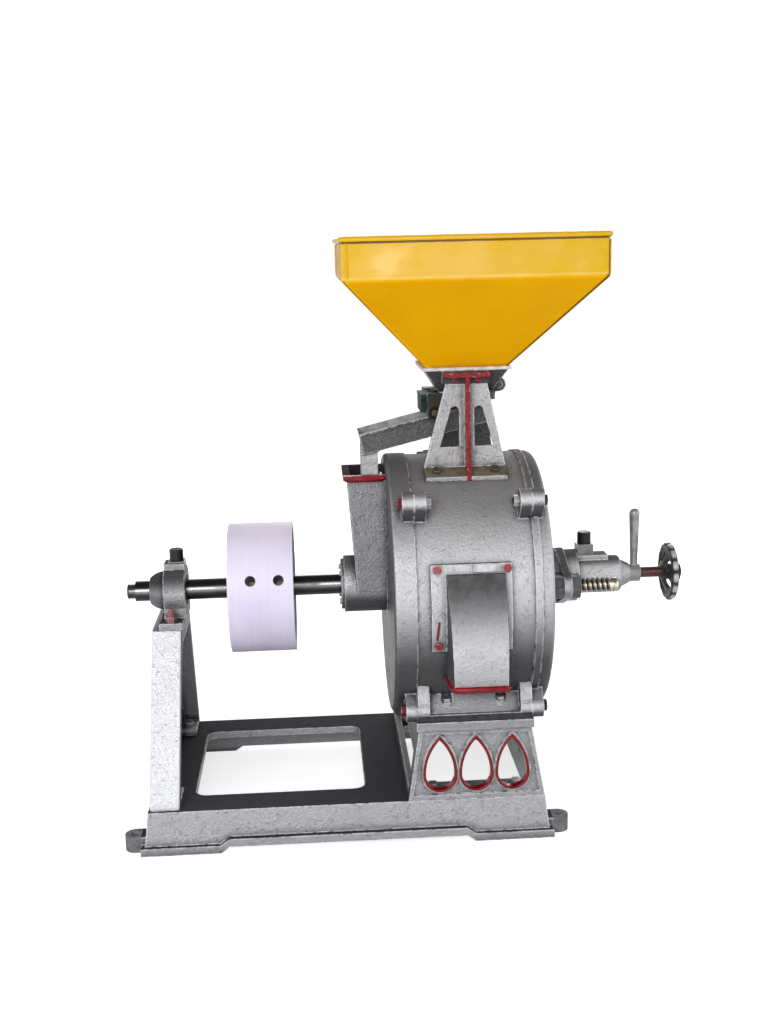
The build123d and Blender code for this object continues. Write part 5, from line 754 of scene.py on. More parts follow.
class MILL_OT_outlet(MillOperator, bpy.types.Operator):
    """Paints the flour outlet, rolls its red lip and puts a raised arrow and a bare label on its plate"""

    bl_idname = "mill.outlet"
    bl_label = "Flour outlet"

    lip = 0.0125
    plate = 0.259
    plate_edge = 0.004
    hood = 0.106
    hood_rise = 0.0165
    shift = 0.007
    slant = 0.010
    proud = 0.005
    trim = (0.00308, 0.0044)
    thick = 0.0066
    inset = 0.0008
    back = -0.232
    slim = 0.6
    skin = 0.0006
    sunk = 0.0008
    label = ((0.262, 0.5185), (0.262, 0.5310))
    strap = ((0.2350, 0.5180), (0.2350, 0.5320))
    stroke = ((0.1740, 0.431), (0.1722, 0.414), (0.1700, 0.396))
    head = ((0.1665, 0.4385), (0.1755, 0.4500), (0.1845, 0.4395))
    label_size = (0.050, 0.0010, 0.2)
    strap_size = (0.003, 0.0014)
    stroke_size = (0.004, 0.0014)
    head_size = (0.004, 0.0016)

    def bead(self, corners, width, height, square=1.0):
        """A bead on the curved plate: points (x, z) become (x, -sqrt(plate^2 - (z - axis)^2), z). Its section
        is half an oval whose sine and cosine are raised to the power square, 1 for round, less for flat."""
        corners = np.array(corners)
        reach = np.concatenate(([0.0], np.cumsum(np.linalg.norm(np.diff(corners, axis=0), axis=1))))
        along = np.linspace(0, reach[-1], 24)
        x = np.interp(along, reach, corners[:, 0])
        z = np.interp(along, reach, corners[:, 1])
        y = -np.sqrt(self.plate**2 - (z - SHAFT_Z) ** 2)
        path = grid_of(x, y, z)
        out = grid_of(0.0, y, z - SHAFT_Z) / self.plate
        turn = np.linspace(0, math.pi, 9)
        wide = width / 2 * squared(np.cos(turn), square)
        arch = np.stack((wide, height * np.sin(turn).clip(0) ** square), -1)
        profile = np.concatenate((arch, [(-width / 2, -self.sunk), (width / 2, -self.sunk)]))
        return swept(path, np.cross(unit(np.gradient(path, axis=0)), out), out, profile, closed=False)

    def slanted(self, points, middle):
        """Leans the hood's left side in: x grows by slant * forward * left, where forward runs from 0 on the
        plate to 1 at the lip's front, and left from 0 at the hood's middle to 1 at its side."""
        most = math.hypot(OUTLET_LOW.y, OUTLET_LOW.z - SHAFT_Z) - self.plate
        out = np.hypot(points[:, 1], points[:, 2] - SHAFT_Z) - self.plate
        left = np.clip((middle - points[:, 0]) / (self.hood / 2), 0, 1)
        points[:, 0] += self.slant * np.clip(out / most, 0, 1) * left
        return points

    def casting_mesh(self, middle):
        """The outlet's CAD mesh, its lip trimmed on three sides where the roll goes, and its hood slanted."""
        mesh = NODES["flour_outlet"].data.copy()
        mesh.name = "outlet_casting"
        mesh.materials.clear()
        normals = mesh.attributes.get("custom_normal")
        if normals:
            mesh.attributes.remove(normals)
        points = np.empty(3 * len(mesh.vertices))
        mesh.vertices.foreach_get("co", points)
        points = points.reshape(-1, 3)
        x, y, z = points.T
        low = z < OUTLET_LOW.z + self.lip
        reach = self.hood / 2 + self.proud - self.trim[0]
        x[low] = np.clip(x[low], middle - reach, middle + reach)
        y[low] = np.maximum(y[low], OUTLET_LOW.y + self.trim[1])
        mesh.vertices.foreach_set("co", self.slanted(points, middle).ravel())
        mesh.update()
        return mesh

    def roll(self, half, middle):
        """The lip's roll, slanted like the hood and slimmer towards its two ends."""
        reach = half + self.proud - self.thick
        front = OUTLET_LOW.y + self.thick + self.inset
        level = OUTLET_LOW.z + self.lip / 2
        path = lip_path(middle - reach, middle + reach, front, self.back, level, self.thick)
        path = self.slanted(path, middle)
        slim = np.interp(path[:, 1], (front, self.back), (1.0, self.slim))
        return lip_roll(path, slim[:, None, None] * ring(self.thick, 14))

    def execute(self, context):
        hues = context.scene.mill_colours
        low = OUTLET_LOW
        high = OUTLET_HIGH
        middle = (low.x + high.x) / 2 + self.shift
        half = self.hood / 2 + self.skin
        hood = {"x": (middle - half, middle + half), "z": (None, high.z - self.hood_rise)}
        marks = [
            # Painted shade on the upward-facing top of the hood.
            mark(srgb(92, 92, 94), tilt=(0.02, 0.5), **hood),
            mark(srgb(104, 44, 48), tilt=(0.5, 0.8), z=(high.z - self.plate_edge, None)),
            mark(hues.red, True, y=(None, self.back), z=(None, low.z + self.lip)),
        ]
        # The strong negative flank is painted shade on the hood's left wall.
        look = casting(
            context, "silver_outlet", bright=0.06, ledge=0.3, rise=(0.5, 1.0), flank=-0.88, marks=marks
        )
        shown(self.casting_mesh(middle), look, "frame", ["flour_outlet"])
        red = enamel(context, "red_enamel_outlet", hues.red)
        piece("outlet_lip_roll", [self.roll(half, middle)], red, "frame")
        stroke = self.bead(self.stroke, *self.stroke_size)
        piece("outlet_arrow_stroke", [stroke], red, "frame")
        pale = casting(context, "silver_arrow", bright=0.4)
        head = self.bead(self.head, *self.head_size)
        piece("outlet_arrow_head", [head], pale, "frame")
        sheets = [self.bead(self.label, *self.label_size), self.bead(self.strap, *self.strap_size)]
        bare = enamel(context, "bare_label", srgb(206, 208, 211), srgb(230, 230, 232))
        piece("outlet_label", sheets, bare, "frame")
        return {"FINISHED"}


class MILL_OT_bearing(MillOperator, bpy.types.Operator):
    """Paints the outboard bearing and the grease cups"""

    bl_idname = "mill.bearing"
    bl_label = "Bearing and grease cups"

    def execute(self, context):
        look = casting(
            context, "silver_bearing", srgb(160, 161, 164), ledge=0.85, rise=(0.0, 0.7), flank=0.95
        )
        paint_nodes(look, "bearing_housing")
        look = casting(context, "grey_dome", srgb(122, 123, 126), ledge=0.85, rise=(0.0, 0.6))
        paint_nodes(look, "bearing_end_cover")
        cups = rough_iron(context, "cup_iron", srgb(124, 123, 124), 0.5)
        paint_nodes(cups, "outboard_grease_cup", "adjuster_grease_cup")
        caps = rough_iron(context, "cap_black", srgb(22, 20, 21), 0.0, 0.5, specular=0.3)
        paint_nodes(caps, "outboard_grease_cap", "adjuster_grease_cap")
        return {"FINISHED"}


class MILL_OT_shaft(MillOperator, bpy.types.Operator):
    """Finishes the shaft and what turns inside the drum, and cuts a thread on the shaft's tail"""

    bl_idname = "mill.shaft"
    bl_label = "Shaft and inner parts"

    tail_length = 0.016
    tail_plain = 0.002
    tail_radius = 0.0146
    tail_pitch = 0.003
    tail_depth = 0.0012
    tail_chamfer = 0.0015

    def execute(self, context):
        hues = context.scene.mill_colours
        bright = turned_metal(context, "steel_shaft", hues.steel, roughness=0.2, dirt=0.3, painted_shading=0.9)
        paint_nodes(bright, "main_shaft", "shaft_keys", "thrust_sleeve", "thrust_bearing")
        brass = turned_metal(context, "brass_bush", hues.brass, dirt=0.7, painted_shading=0.6)
        paint_nodes(brass, "feed_side_bush", "wheel_side_bush")
        oiled = rough_iron(context, "oiled_bush", srgb(74, 64, 48), 0.0, 0.8, specular=0.05)
        paint_nodes(oiled, "outboard_bush")
        inner = rough_iron(context, "iron_inner", srgb(120, 119, 118), 0.7)
        paint_nodes(inner, "runner_plate", "feed_worm", "flour_sweepers")
        start = SHAFT_LOW.x
        tail = threaded(
            start, start + self.tail_length, start + self.tail_plain, self.tail_radius, self.tail_pitch,
            self.tail_depth, (0.0, SHAFT_Z), self.tail_chamfer,
        )
        dark = rough_iron(context, "steel_tail", srgb(70, 68, 65), 0.8)
        piece("shaft_tail_thread", [tail], dark, "rotor")
        return {"FINISHED"}


class MILL_OT_pulley(MillOperator, bpy.types.Operator):
    """Paints the belt pulley, with painted shade in its holes and inside"""

    bl_idname = "mill.pulley"
    bl_label = "Belt pulley"

    rind = 0.018
    ends = 0.003
    blur = 0.002

    def execute(self, context):
        hues = context.scene.mill_colours
        low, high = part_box("pulley")
        finish = Finish("pale_pulley", hues.pulley, specular=0.4)
        soft, rim = finish.edges(0.0015)
        rings = finish.noise(420.0, 2.0, (1.0, 0.004, 0.004))
        deep = [share * c for share, c in zip((0.84, 0.80, 0.92), hues.pulley)]
        finish.cover(deep, finish.patches(9.0, 0.3, 0.75, 4.0), 0.6)
        finish.cover(srgb(176, 170, 196), finish.step(rings, 0.5, 0.75), 0.16)
        finish.cover(srgb(140, 136, 150), finish.patches(60.0, 0.66, 0.74, 4.0, (1.0, 0.2, 0.2)), 0.35)
        finish.cover(srgb(96, 94, 104), rim, 0.6)
        # Painted shade on the walls of the holes and on the rim's inner face.
        own = finish.add("TexCoord", output="Normal")
        turn = finish.vector("DOT_PRODUCT", finish.vector("NORMALIZE", finish.spoke()), own, output="Value")
        bored = finish.step(finish.calc("ABSOLUTE", turn), 0.6, 0.3)
        between = finish.within(zone(x=(low.x + self.ends, high.x - self.ends)))
        inside = (high.z - low.z) / 2 - self.rind
        rind = finish.step(finish.from_axis(), inside, inside + self.blur)
        finish.cover(srgb(34, 31, 32), bored, between, rind, 0.92)
        # Painted shade inside the pulley, deeper where less sky is open.
        finish.cover(srgb(28, 26, 28), finish.step(finish.open_sky(0.12, 8), 0.8, 0.4), 0.92)
        shine = finish.scaled(rings, 0.2, 0.42)
        paint_nodes(finish.done(shine, finish.bump(rings, 0.0002, 0.35, soft)), "pulley")
        paint_nodes(rough_iron(context, "set_screw_steel", srgb(150, 136, 108), 0.6), "pulley_set_screws")
        return {"FINISHED"}


class MILL_OT_stones(MillOperator, bpy.types.Operator):
    """Finishes the two stones"""

    bl_idname = "mill.stones"
    bl_label = "Stones"

    def execute(self, context):
        paint_nodes(grit("stone_grit", context.scene.mill_colours.stone), "bed_stone", "runner_stone")
        return {"FINISHED"}


class MILL_OT_adjuster(MillOperator, bpy.types.Operator):
    """Paints the adjuster, and cuts threads on its studs and its screw"""

    bl_idname = "mill.adjuster"
    bl_label = "Stone gap adjuster"

    thread_start = 0.072
    grooves = (0.98, 0.55)
    chamfer = 0.002
    tip = 0.009
    tip_stations = (0.0, 0.001, 0.4, 0.75, 0.92, 1.0)
    tip_radii = (0.9, 0.97, 0.97, 0.93, 0.84, 0.7)
    screw_plain = 0.004
    screw_chamfer = 0.0015

    def execute(self, context):
        hues = context.scene.mill_colours
        shapes = context.scene.mill_shapes
        look = casting(
            context, "silver_adjuster", srgb(188, 189, 192), ledge=0.85, rise=(0.55, 0.92), flank=-0.5
        )
        paint_nodes(look, "adjuster_housing")
        paint_nodes(rough_iron(context, "nut_steel", srgb(92, 92, 96), 0.5, 0.4), "adjuster_nuts")
        paint_nodes(rough_iron(context, "lever_steel", srgb(150, 150, 152), 0.4, 0.38), "lock_lever")
        pitch = shapes.stud_pitch
        depth = shapes.stud_depth
        radius = (STUD_HIGH.z - STUD_LOW.z) / 2
        spread = STUD_HIGH.y - radius
        roots = (spread, *(radius - share * depth for share in self.grooves))
        golden = turned_metal(context, "stud_brown_steel", hues.stud, 0.2, dirt=0.25, painted_shading=0.5, roots=roots)
        stop = STUD_HIGH.x - self.tip
        start = STUD_LOW.x + self.thread_start
        stations = stop + self.tip * np.array(self.tip_stations)
        rods = []
        for centre in ((-spread, SHAFT_Z), (spread, SHAFT_Z)):
            rods.append(threaded(STUD_LOW.x, stop, start, radius, pitch, depth, centre, self.chamfer))
            rods.append(turned(stations, radius * np.array(self.tip_radii), centre))
        piece("threaded_studs", rods, golden, "frame", ["adjuster_studs"])
        rust = rough_iron(context, "screw_brown_steel", hues.screw, 0.55, 0.4)
        screw = threaded(
            SCREW_LOW.x, SCREW_HIGH.x, SCREW_LOW.x + self.screw_plain, (SCREW_HIGH.z - SCREW_LOW.z) / 2,
            shapes.screw_pitch, shapes.screw_depth, (0.0, SHAFT_Z), self.screw_chamfer,
        )
        piece("threaded_screw", [screw], rust, "handwheel", ["adjusting_screw"])
        return {"FINISHED"}


class MILL_OT_handwheel(MillOperator, bpy.types.Operator):
    """Casts the handwheel: a lobed round grip, a dished web with five holes and a hub"""

    bl_idname = "mill.handwheel"
    bl_label = "Handwheel"

    grip = 0.0150
    held = 0.0552
    flat = 0.8
    dip = 0.7
    side_share = 0.94
    dish = 0.010
    web = 0.007
    web_start = 0.006
    hub = 0.015
    overlaps = (0.002, 0.004)
    holes = 5
    hole = 0.010
    hole_circle = 0.0295
    hole_edge = 0.0012
    hub_stations = (0.0, 0.0012, 0.007, 0.012, 0.022, 0.0285, 0.030)
    hub_swell = (-0.0025, -0.0008, 0.0, 0.001, 0.0005, -0.0008, -0.0025)

    def rim(self, lobes, depth):
        """Lobed tube: about the axis at angle a, an oval section whose outer half is shallower by
        depth * (1 - |cos(lobes * a / 2)|^dip), with squared-off sine and cosine for its flattened sides."""
        outer = max(WHEEL_HIGH.z - WHEEL_LOW.z, WHEEL_HIGH.y - WHEEL_LOW.y) / 2
        half = self.grip / 2
        a = full_turn(16 * lobes)[:, None]
        b = full_turn(28)
        wide = squared(np.cos(b), self.flat)
        deep = squared(np.sin(b), self.flat)
        hollow = depth * (1 - np.abs(np.cos(lobes * a / 2)) ** self.dip)
        out = outer - half + np.where(wide > 0, half - hollow, half) * wide
        x = WHEEL_LOW.x + self.dish + half * (1 + self.side_share * deep)
        return sheet_of(grid_of(x, out * np.cos(a), SHAFT_Z + out * np.sin(a)), True, True)

    def sector(self, number, near, far):
        """One fifth of the web: rings from the hole to the sector's edge, point = centre + reach * direction,
        where reach is the distance to the nearest of the hub, the grip and the two radial lines."""
        v = full_turn(72)
        half = math.pi / self.holes
        circle = self.hole_circle
        c = np.cos(v)
        s = np.sin(v)
        line = circle * math.sin(half) / np.maximum(np.abs(s) * math.cos(half) - c * math.sin(half), 1e-9)
        wall = -circle * c + np.sqrt((circle * c) ** 2 + far**2 - circle**2)
        inside = (circle * c) ** 2 + near**2 - circle**2
        middle = np.where((inside > 0) & (c < 0), -circle * c - np.sqrt(np.maximum(inside, 0)), FAR)
        reach = np.minimum(np.minimum(line - 2e-5, wall), middle)
        steps = np.array([0.0, 0.15, 0.5, 1.0])[:, None]
        spread = self.hole + steps * (reach - self.hole)
        x = circle + spread * c
        y = spread * s
        out = np.hypot(x, y)
        a = np.arctan2(y, x) + 2 * half * number
        lift = np.clip((out - near) / (far - near), 0, 1)
        climb = self.dish + self.grip / 2 - self.web_start
        level = WHEEL_LOW.x + self.web_start + climb * (3 * lift**2 - 2 * lift**3)
        thick = self.web / 2 - np.where(steps == 0, self.hole_edge, 0.0)
        flat = (out * np.cos(a), SHAFT_Z + out * np.sin(a))
        back = np.stack((level - thick, *flat), -1)
        front = np.stack((level + thick, *flat), -1)
        return sheet_of(np.concatenate((back[::-1], front)), True, True)

    def execute(self, context):
        hues = context.scene.mill_colours
        shapes = context.scene.mill_shapes
        near = self.hub - self.overlaps[0]
        far = (WHEEL_HIGH.y - WHEEL_LOW.y) / 2 - self.grip + self.overlaps[1]
        sheets = [self.rim(shapes.lobes, shapes.lobe_depth)]
        sheets += [self.sector(k, near, far) for k in range(self.holes)]
        stations = WHEEL_LOW.x + np.array(self.hub_stations)
        sheets.append(turned(stations, self.hub + np.array(self.hub_swell), (0.0, SHAFT_Z)))
        iron = rough_iron(context, "iron_wheel", hues.iron, 0.25, 0.5, self.held, 0.3)
        piece("handwheel_casting", sheets, iron, "handwheel", ["handwheel"], 60.0)
        paint_nodes(rough_iron(context, "black_nut", hues.black, 0.7), "handwheel_nut")
        return {"FINISHED"}


class MILL_OT_bracket(MillOperator, bpy.types.Operator):
    """Paints the hopper's brackets and throat, with red ribs and olive feet"""

    bl_idname = "mill.bracket"
    bl_label = "Hopper brackets"

    plate = 0.011
    rib_half = 0.0044
    bar = 0.0085
    tab = 0.0208
    foot_rise = 0.034
    shift = 0.0045
    rim = 0.0065

    def execute(self, context):
        hues = context.scene.mill_colours
        rib_x = STAND_X + self.shift
        far = BRACKET_HIGH.y - self.plate
        top = BRACKET_HIGH.z
        foot = BRACKET_LOW.z + self.foot_rise
        sides = (
            ("front", (None, far), srgb(172, 172, 175)),
            # The rear bracket is a darker copy of the front's silver: painted shade.
            ("rear", (-far, None), srgb(86, 91, 92)),
        )
        for name, near, hue in sides:
            marks = [
                mark(hues.olive, tilt=(0.5, 0.7), y=near, z=(None, foot)),
                # Painted shade on the plate's head under the red bar.
                mark(srgb(84, 84, 86), z=(top - self.tab, None)),
                mark(hues.red, True, x=(rib_x - self.rib_half, rib_x + self.rib_half), y=near),
                mark(hues.red, True, z=(top - self.bar, None)),
            ]
            look = casting(context, f"silver_bracket_{name}", hue, ledge=0.3, marks=marks)
            paint_nodes(look, f"hopper_bracket_{name}")
        throat_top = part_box("hopper_throat")[1].z
        marks = [mark(srgb(226, 226, 228), z=(throat_top - self.rim, None))]
        # The throat's dark sheet grey is painted shade on its downward-sloping front.
        look = casting(context, "grey_throat", hues.sheet, ledge=0.2, flank=-0.5, marks=marks)
        paint_nodes(look, "hopper_throat")
        return {"FINISHED"}


class MILL_OT_hopper(MillOperator, bpy.types.Operator):
    """Builds the hopper from dented sheet with a rolled rim and lapped corners"""

    bl_idname = "mill.hopper"
    bl_label = "Hopper"

    rim = 0.003
    sheet = 0.0025
    band = 0.076
    foot_half = 0.076
    corner = 0.005
    least_corner = 0.001
    rim_corner = 0.012
    bend = 0.006
    brim = 0.001
    seam_gap = 0.0004
    seam_top = 1.6
    band_edge = (-0.001, 0.004)
    rim_shadow_line = (-0.0020, 0.0022)
    crease_highlight = (0.002, 0.0065)
    spots = (
        (-0.19, 1.075, 0.030, 0.0016), (-0.05, 1.052, 0.045, 0.0012), (0.10, 1.080, 0.050, 0.0016),
        (0.165, 1.055, 0.022, 0.0018), (0.07, 1.038, 0.012, 0.0022), (-0.04, 0.955, 0.060, 0.0016),
        (0.03, 0.905, 0.040, 0.0010), (-0.10, 1.000, 0.040, 0.0012),
    )
    lap = ((0.0, -0.001), (0.0, 1.0), (0.12, 1.0), (0.9, 1.0), (1.0, 0.6), (1.0, -0.001))

    def middle(self):
        """The hopper's middle along the shaft."""
        return (HOPPER_LOW.x + HOPPER_HIGH.x) / 2

    def half(self):
        """Half the width of the upright band."""
        return (HOPPER_HIGH.x - HOPPER_LOW.x) / 2 - self.rim

    def profile(self):
        """Half width against height: a slope, a bend rounded by a quadratic curve, and an upright band."""
        half = self.half()
        foot = np.array((self.foot_half, HOPPER_LOW.z))
        crease = np.array((half, HOPPER_HIGH.z - self.band))
        top = np.array((half, HOPPER_HIGH.z - self.brim))
        first = crease - self.bend * unit(crease - foot)
        last = crease + (0, self.bend)
        s = np.linspace(0, 1, 9)[:, None]
        curve = (1 - s) ** 2 * first + 2 * s * (1 - s) * crease + s**2 * last
        rise = np.linspace(0, 1, 22, endpoint=False)[:, None]
        climb = np.linspace(0, 1, 12)[1:, None]
        return np.concatenate((foot + rise * (first - foot), curve, last + climb * (top - last)))

    def dents(self, grid):
        """Shallow dents: a sum of Gaussian hollows that push the sheet towards the middle."""
        depth = np.zeros(grid.shape[:2])
        face = np.abs(grid[..., 0]) < np.abs(grid[..., 1])
        along = np.where(face, grid[..., 0] * -np.sign(grid[..., 1]), grid[..., 1] * np.sign(grid[..., 0]))
        for place, level, reach, deep in self.spots:
            far = ((along - place) ** 2 + (grid[..., 2] - level) ** 2) / reach**2
            depth += deep * np.exp(-far)
        size_here = np.maximum(np.abs(grid[..., 0]), np.abs(grid[..., 1]))
        grid[..., :2] *= (1 - depth / size_here)[..., None]
        return grid

    def shell(self, inset):
        """Levels by perimeter: a rounded square of each level's half width."""
        levels = self.profile()
        corner = max(self.corner - inset, self.least_corner)
        flat = np.array([rounded_square(h - inset, corner, 40, 6) for h in levels[:, 0]])
        return self.dents(grid_of(flat[..., 0], flat[..., 1], levels[:, 1:]))

    def rolled_rim(self, radius):
        """A wire roll along a rounded square."""
        square = rounded_square(self.half() + self.brim, self.rim_corner, 24, 9)
        path = grid_of(square[:, 0] + self.middle(), square[:, 1], HOPPER_HIGH.z - radius)
        ahead = unit(np.roll(path, -1, 0) - np.roll(path, 1, 0))
        return swept(path, np.cross(ahead, UP), UP, ring(radius, 16))

    def seams(self, shapes):
        """Laps up the four corners: a flat section that follows the profile, turned by right angles."""
        levels = self.profile()
        levels = levels[levels[:, 1] < HOPPER_HIGH.z - self.seam_top * shapes.rim_radius]
        side, height = np.array(self.lap).T
        x = side * shapes.seam_width - self.seam_gap - levels[:, :1]
        lap = grid_of(x, -levels[:, :1] - height * shapes.seam_height, levels[:, 1:])
        made = []
        for k in range(4):
            grid = lap.copy()
            grid[..., :2] = lap[..., :2] @ quarter_turn(k)
            made.append(sheet_of(capped(grid) + (self.middle(), 0.0, 0.0), False, True))
        return made

    def paint(self, context):
        """Yellow gloss: dull slopes with dark corners, a shiny band with a painted highlight above its
        crease, a painted shadow under the rolled rim and a painted reflection greying the sides.
        """
        hues = context.scene.mill_colours
        finish = Finish("yellow_gloss", hues.yellow)
        finish.give("Coat Roughness", 0.24)
        soft, rim = finish.edges(0.0015)
        crease = HOPPER_HIGH.z - self.band
        roll = HOPPER_HIGH.z - 2 * context.scene.mill_shapes.rim_radius
        band = finish.step(finish.part(finish.place, "Z"), *(crease + edge for edge in self.band_edge))
        finish.cover(hues.yellow_deep, finish.patches(5.0, 0.35, 0.7))
        finish.cover(hues.yellow_band, band)
        finish.cover(srgb(120, 84, 20), finish.patches(260.0, 0.72, 0.76), 0.7)
        finish.cover(srgb(110, 84, 40), rim, finish.patches(140.0, 0.66, 0.72))
        # Painted shadow along the underside of the rolled rim and the sheet just below it.
        line = finish.within(zone(z=[roll + edge for edge in self.rim_shadow_line]))
        finish.cover(srgb(74, 50, 14), line, 0.8)
        # Painted highlight: a pale line just above the crease.
        crease_highlight = finish.within(zone(z=[crease + edge for edge in self.crease_highlight]))
        finish.cover(srgb(252, 226, 150), crease_highlight, finish.noise(30.0), 0.5)
        across = finish.calc("SUBTRACT", finish.part(finish.place, "X"), self.middle())
        across = finish.calc("ABSOLUTE", across)
        deep = finish.calc("ABSOLUTE", finish.part(finish.place, "Y"))
        least = finish.calc("MINIMUM", across, deep)
        square = finish.calc("DIVIDE", least, finish.calc("MAXIMUM", across, deep))
        slope = finish.calc("SUBTRACT", 1.0, band)
        finish.cover(srgb(120, 82, 8), finish.step(square, 0.972, 0.988), slope, 0.7)
        # Painted reflection: the faces along the shaft greyed.
        flank = finish.step(finish.sideways(), 0.8, 0.96)
        finish.cover(srgb(128, 112, 84), flank, 0.16)
        bare = finish.times(band, finish.calc("SUBTRACT", 1.0, flank))
        thick = finish.scaled(finish.patches(7.0, 0.36, 0.56, 3.0, (1.0, 1.0, 2.2)), 0.85, 0.15)
        finish.give("Coat Weight", finish.times(bare, thick))
        finish.give("Specular IOR Level", finish.scaled(bare, 0.14, 0.06))
        shine = finish.scaled(finish.patches(14.0, 0.3, 0.7, 4.0), 0.16, 0.3)
        ripple = finish.scaled(band, 0.7, 0.15)
        return finish.done(shine, finish.bump(finish.noise(11.0, 2.0), 0.012, ripple, soft))

    def execute(self, context):
        shapes = context.scene.mill_shapes
        yellow = self.paint(context)
        walls = np.concatenate((self.shell(0.0), self.shell(self.sheet)[::-1])) + (self.middle(), 0.0, 0.0)
        rim = self.rolled_rim(shapes.rim_radius)
        shell = sheet_of(walls, True, True)
        piece("hopper_shell", [shell], yellow, "frame", ["hopper"], 50.0)
        piece("hopper_rolled_rim", [rim], yellow, "frame")
        piece("hopper_corner_seams", self.seams(shapes), yellow, "frame")
        return {"FINISHED"}


class MILL_OT_feeder(MillOperator, bpy.types.Operator):
    """Finishes the feed gate and the feed shoe, with a weld bead round its spout"""

    bl_idname = "mill.feeder"
    bl_label = "Feed gate and shoe"

    tray = 0.0415
    spout = 0.032
    spout_half = 0.030
    spout_start = 0.0070
    spout_end = 0.040
    spout_top = 0.064
    skin = 0.0006
    slope = 0.24
    joint = 0.0552
    shake_up = 0.0005
    shake_thick = 0.16
    button = 0.0062
    button_stations = (-0.0005, 0.0006, 0.0014, 0.0018)
    button_radii = (1.0, 0.96, 0.75, 0.4)

    def bead(self, radius):
        """A weld bead round the spout's top: a round section along a rectangle that lies in the tray's
        underside, its radius and its path unsteady by sums of sines."""
        corners = np.array([(0.0, -1.0), (1.0, -1.0), (1.0, 1.0), (0.0, 1.0), (0.0, -1.0)])
        share = np.linspace(0, 4, 120, endpoint=False)
        run = self.spout * np.interp(share, np.arange(5), corners[:, 0])
        x = SHOE_LOW.x + self.spout_start + run
        y = self.spout_half * np.interp(share, np.arange(5), corners[:, 1])
        shake = np.sin(61 * share) + np.sin(37 * share + 1.0) + np.sin(97 * share + 2.0)
        z = SHOE_LOW.z + self.joint + self.slope * run + self.shake_up * shake
        out = unit(grid_of(x - x.mean(), y, 0.0))
        profile = radius * (1 + self.shake_thick * shake[:, None, None]) * ring(1.0, 10)
        return swept(grid_of(x, y, z), out, UP, profile)

    def buttons(self):
        """Domed buttons on the pivots' heads: circles of falling radius, carried out along Y."""
        low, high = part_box("shoe_pivot_bolts")
        centre = ((low.x + high.x) / 2, (low.z + high.z) / 2)
        stations = high.y + np.array(self.button_stations)
        radii = self.button * np.array(self.button_radii)
        made = []
        for side in (-1, 1):
            points, rows, cols = turned(side * stations, radii, centre, 24)
            made.append(sheet_of(points[..., [1, 0, 2]], rows, cols))
        return made

    def execute(self, context):
        hues = context.scene.mill_colours
        pale = srgb(206, 207, 210)
        side = self.spout_half + self.skin
        end = (None, SHOE_LOW.x + self.spout_end)
        marks = [
            mark(srgb(170, 171, 174), tilt=(-0.4, -0.2), y=(-self.tray, self.tray)),
            mark(pale, x=end, y=(-side, side), z=(None, SHOE_LOW.z + self.spout_top)),
        ]
        look = casting(context, "grey_shoe", hues.sheet, ledge=0.9, top=pale, marks=marks)
        paint_nodes(look, "feed_shoe")
        weld = casting(context, "silver_weld", bright=0.3, ledge=0.3)
        bead = self.bead(context.scene.mill_shapes.bead_radius)
        piece("shoe_spout_weld", [bead], weld, "feed_shoe")
        gate = rough_iron(context, "gate_green_grey", hues.gate, 0.0, 0.7, specular=0.15)
        paint_nodes(gate, "feed_gate")
        hangers = rough_iron(context, "dark_hangers", srgb(58, 57, 52), 0.0, 0.7, specular=0.15)
        paint_nodes(hangers, "shoe_hangers")
        pivots = rough_iron(context, "black_pivots", srgb(22, 22, 20), 0.0, 0.6, specular=0.1)
        paint_nodes(pivots, "shoe_pivot_bolts")
        drab = rough_iron(context, "drab_buttons", srgb(92, 84, 58), 0.0, 0.6, specular=0.2)
        piece("pivot_buttons", self.buttons(), drab, "frame")
        return {"FINISHED"}


class MILL_OT_fasteners(MillOperator, bpy.types.Operator):
    """Finishes bolts and nuts"""

    bl_idname = "mill.fasteners"
    bl_label = "Bolts and nuts"

    def execute(self, context):
        rubbed = enamel(context, "rubbed_red_bolts", srgb(164, 34, 44), chipped=0.44)
        paint_nodes(rubbed, "outlet_bolts")
        faded = enamel(context, "faded_red_studs", srgb(152, 96, 98), chipped=0.36)
        paint_nodes(faded, "bearing_bolts")
        dull = enamel(context, "dull_red_bolts", srgb(126, 34, 42))
        paint_nodes(dull, "feed_cover_bolts", "bracket_top_bolts")
        paint_nodes(
            rough_iron(context, "steel_bolts", srgb(176, 176, 178), 0.7),
            "pedestal_bolts", "stand_bolts", "casing_foot_bolts", "feed_cover_nuts", "wheel_cover_nuts",
            "boss_plate_screws", "bed_stone_bolts", "runner_stone_bolts",
        )
        black = context.scene.mill_colours.black
        paint_nodes(rough_iron(context, "black_bolts", black), "wheel_cover_bolts")
        paint_nodes(rough_iron(context, "drab_bolts", srgb(74, 71, 62), 0.3), "bracket_foot_bolts")
        return {"FINISHED"}


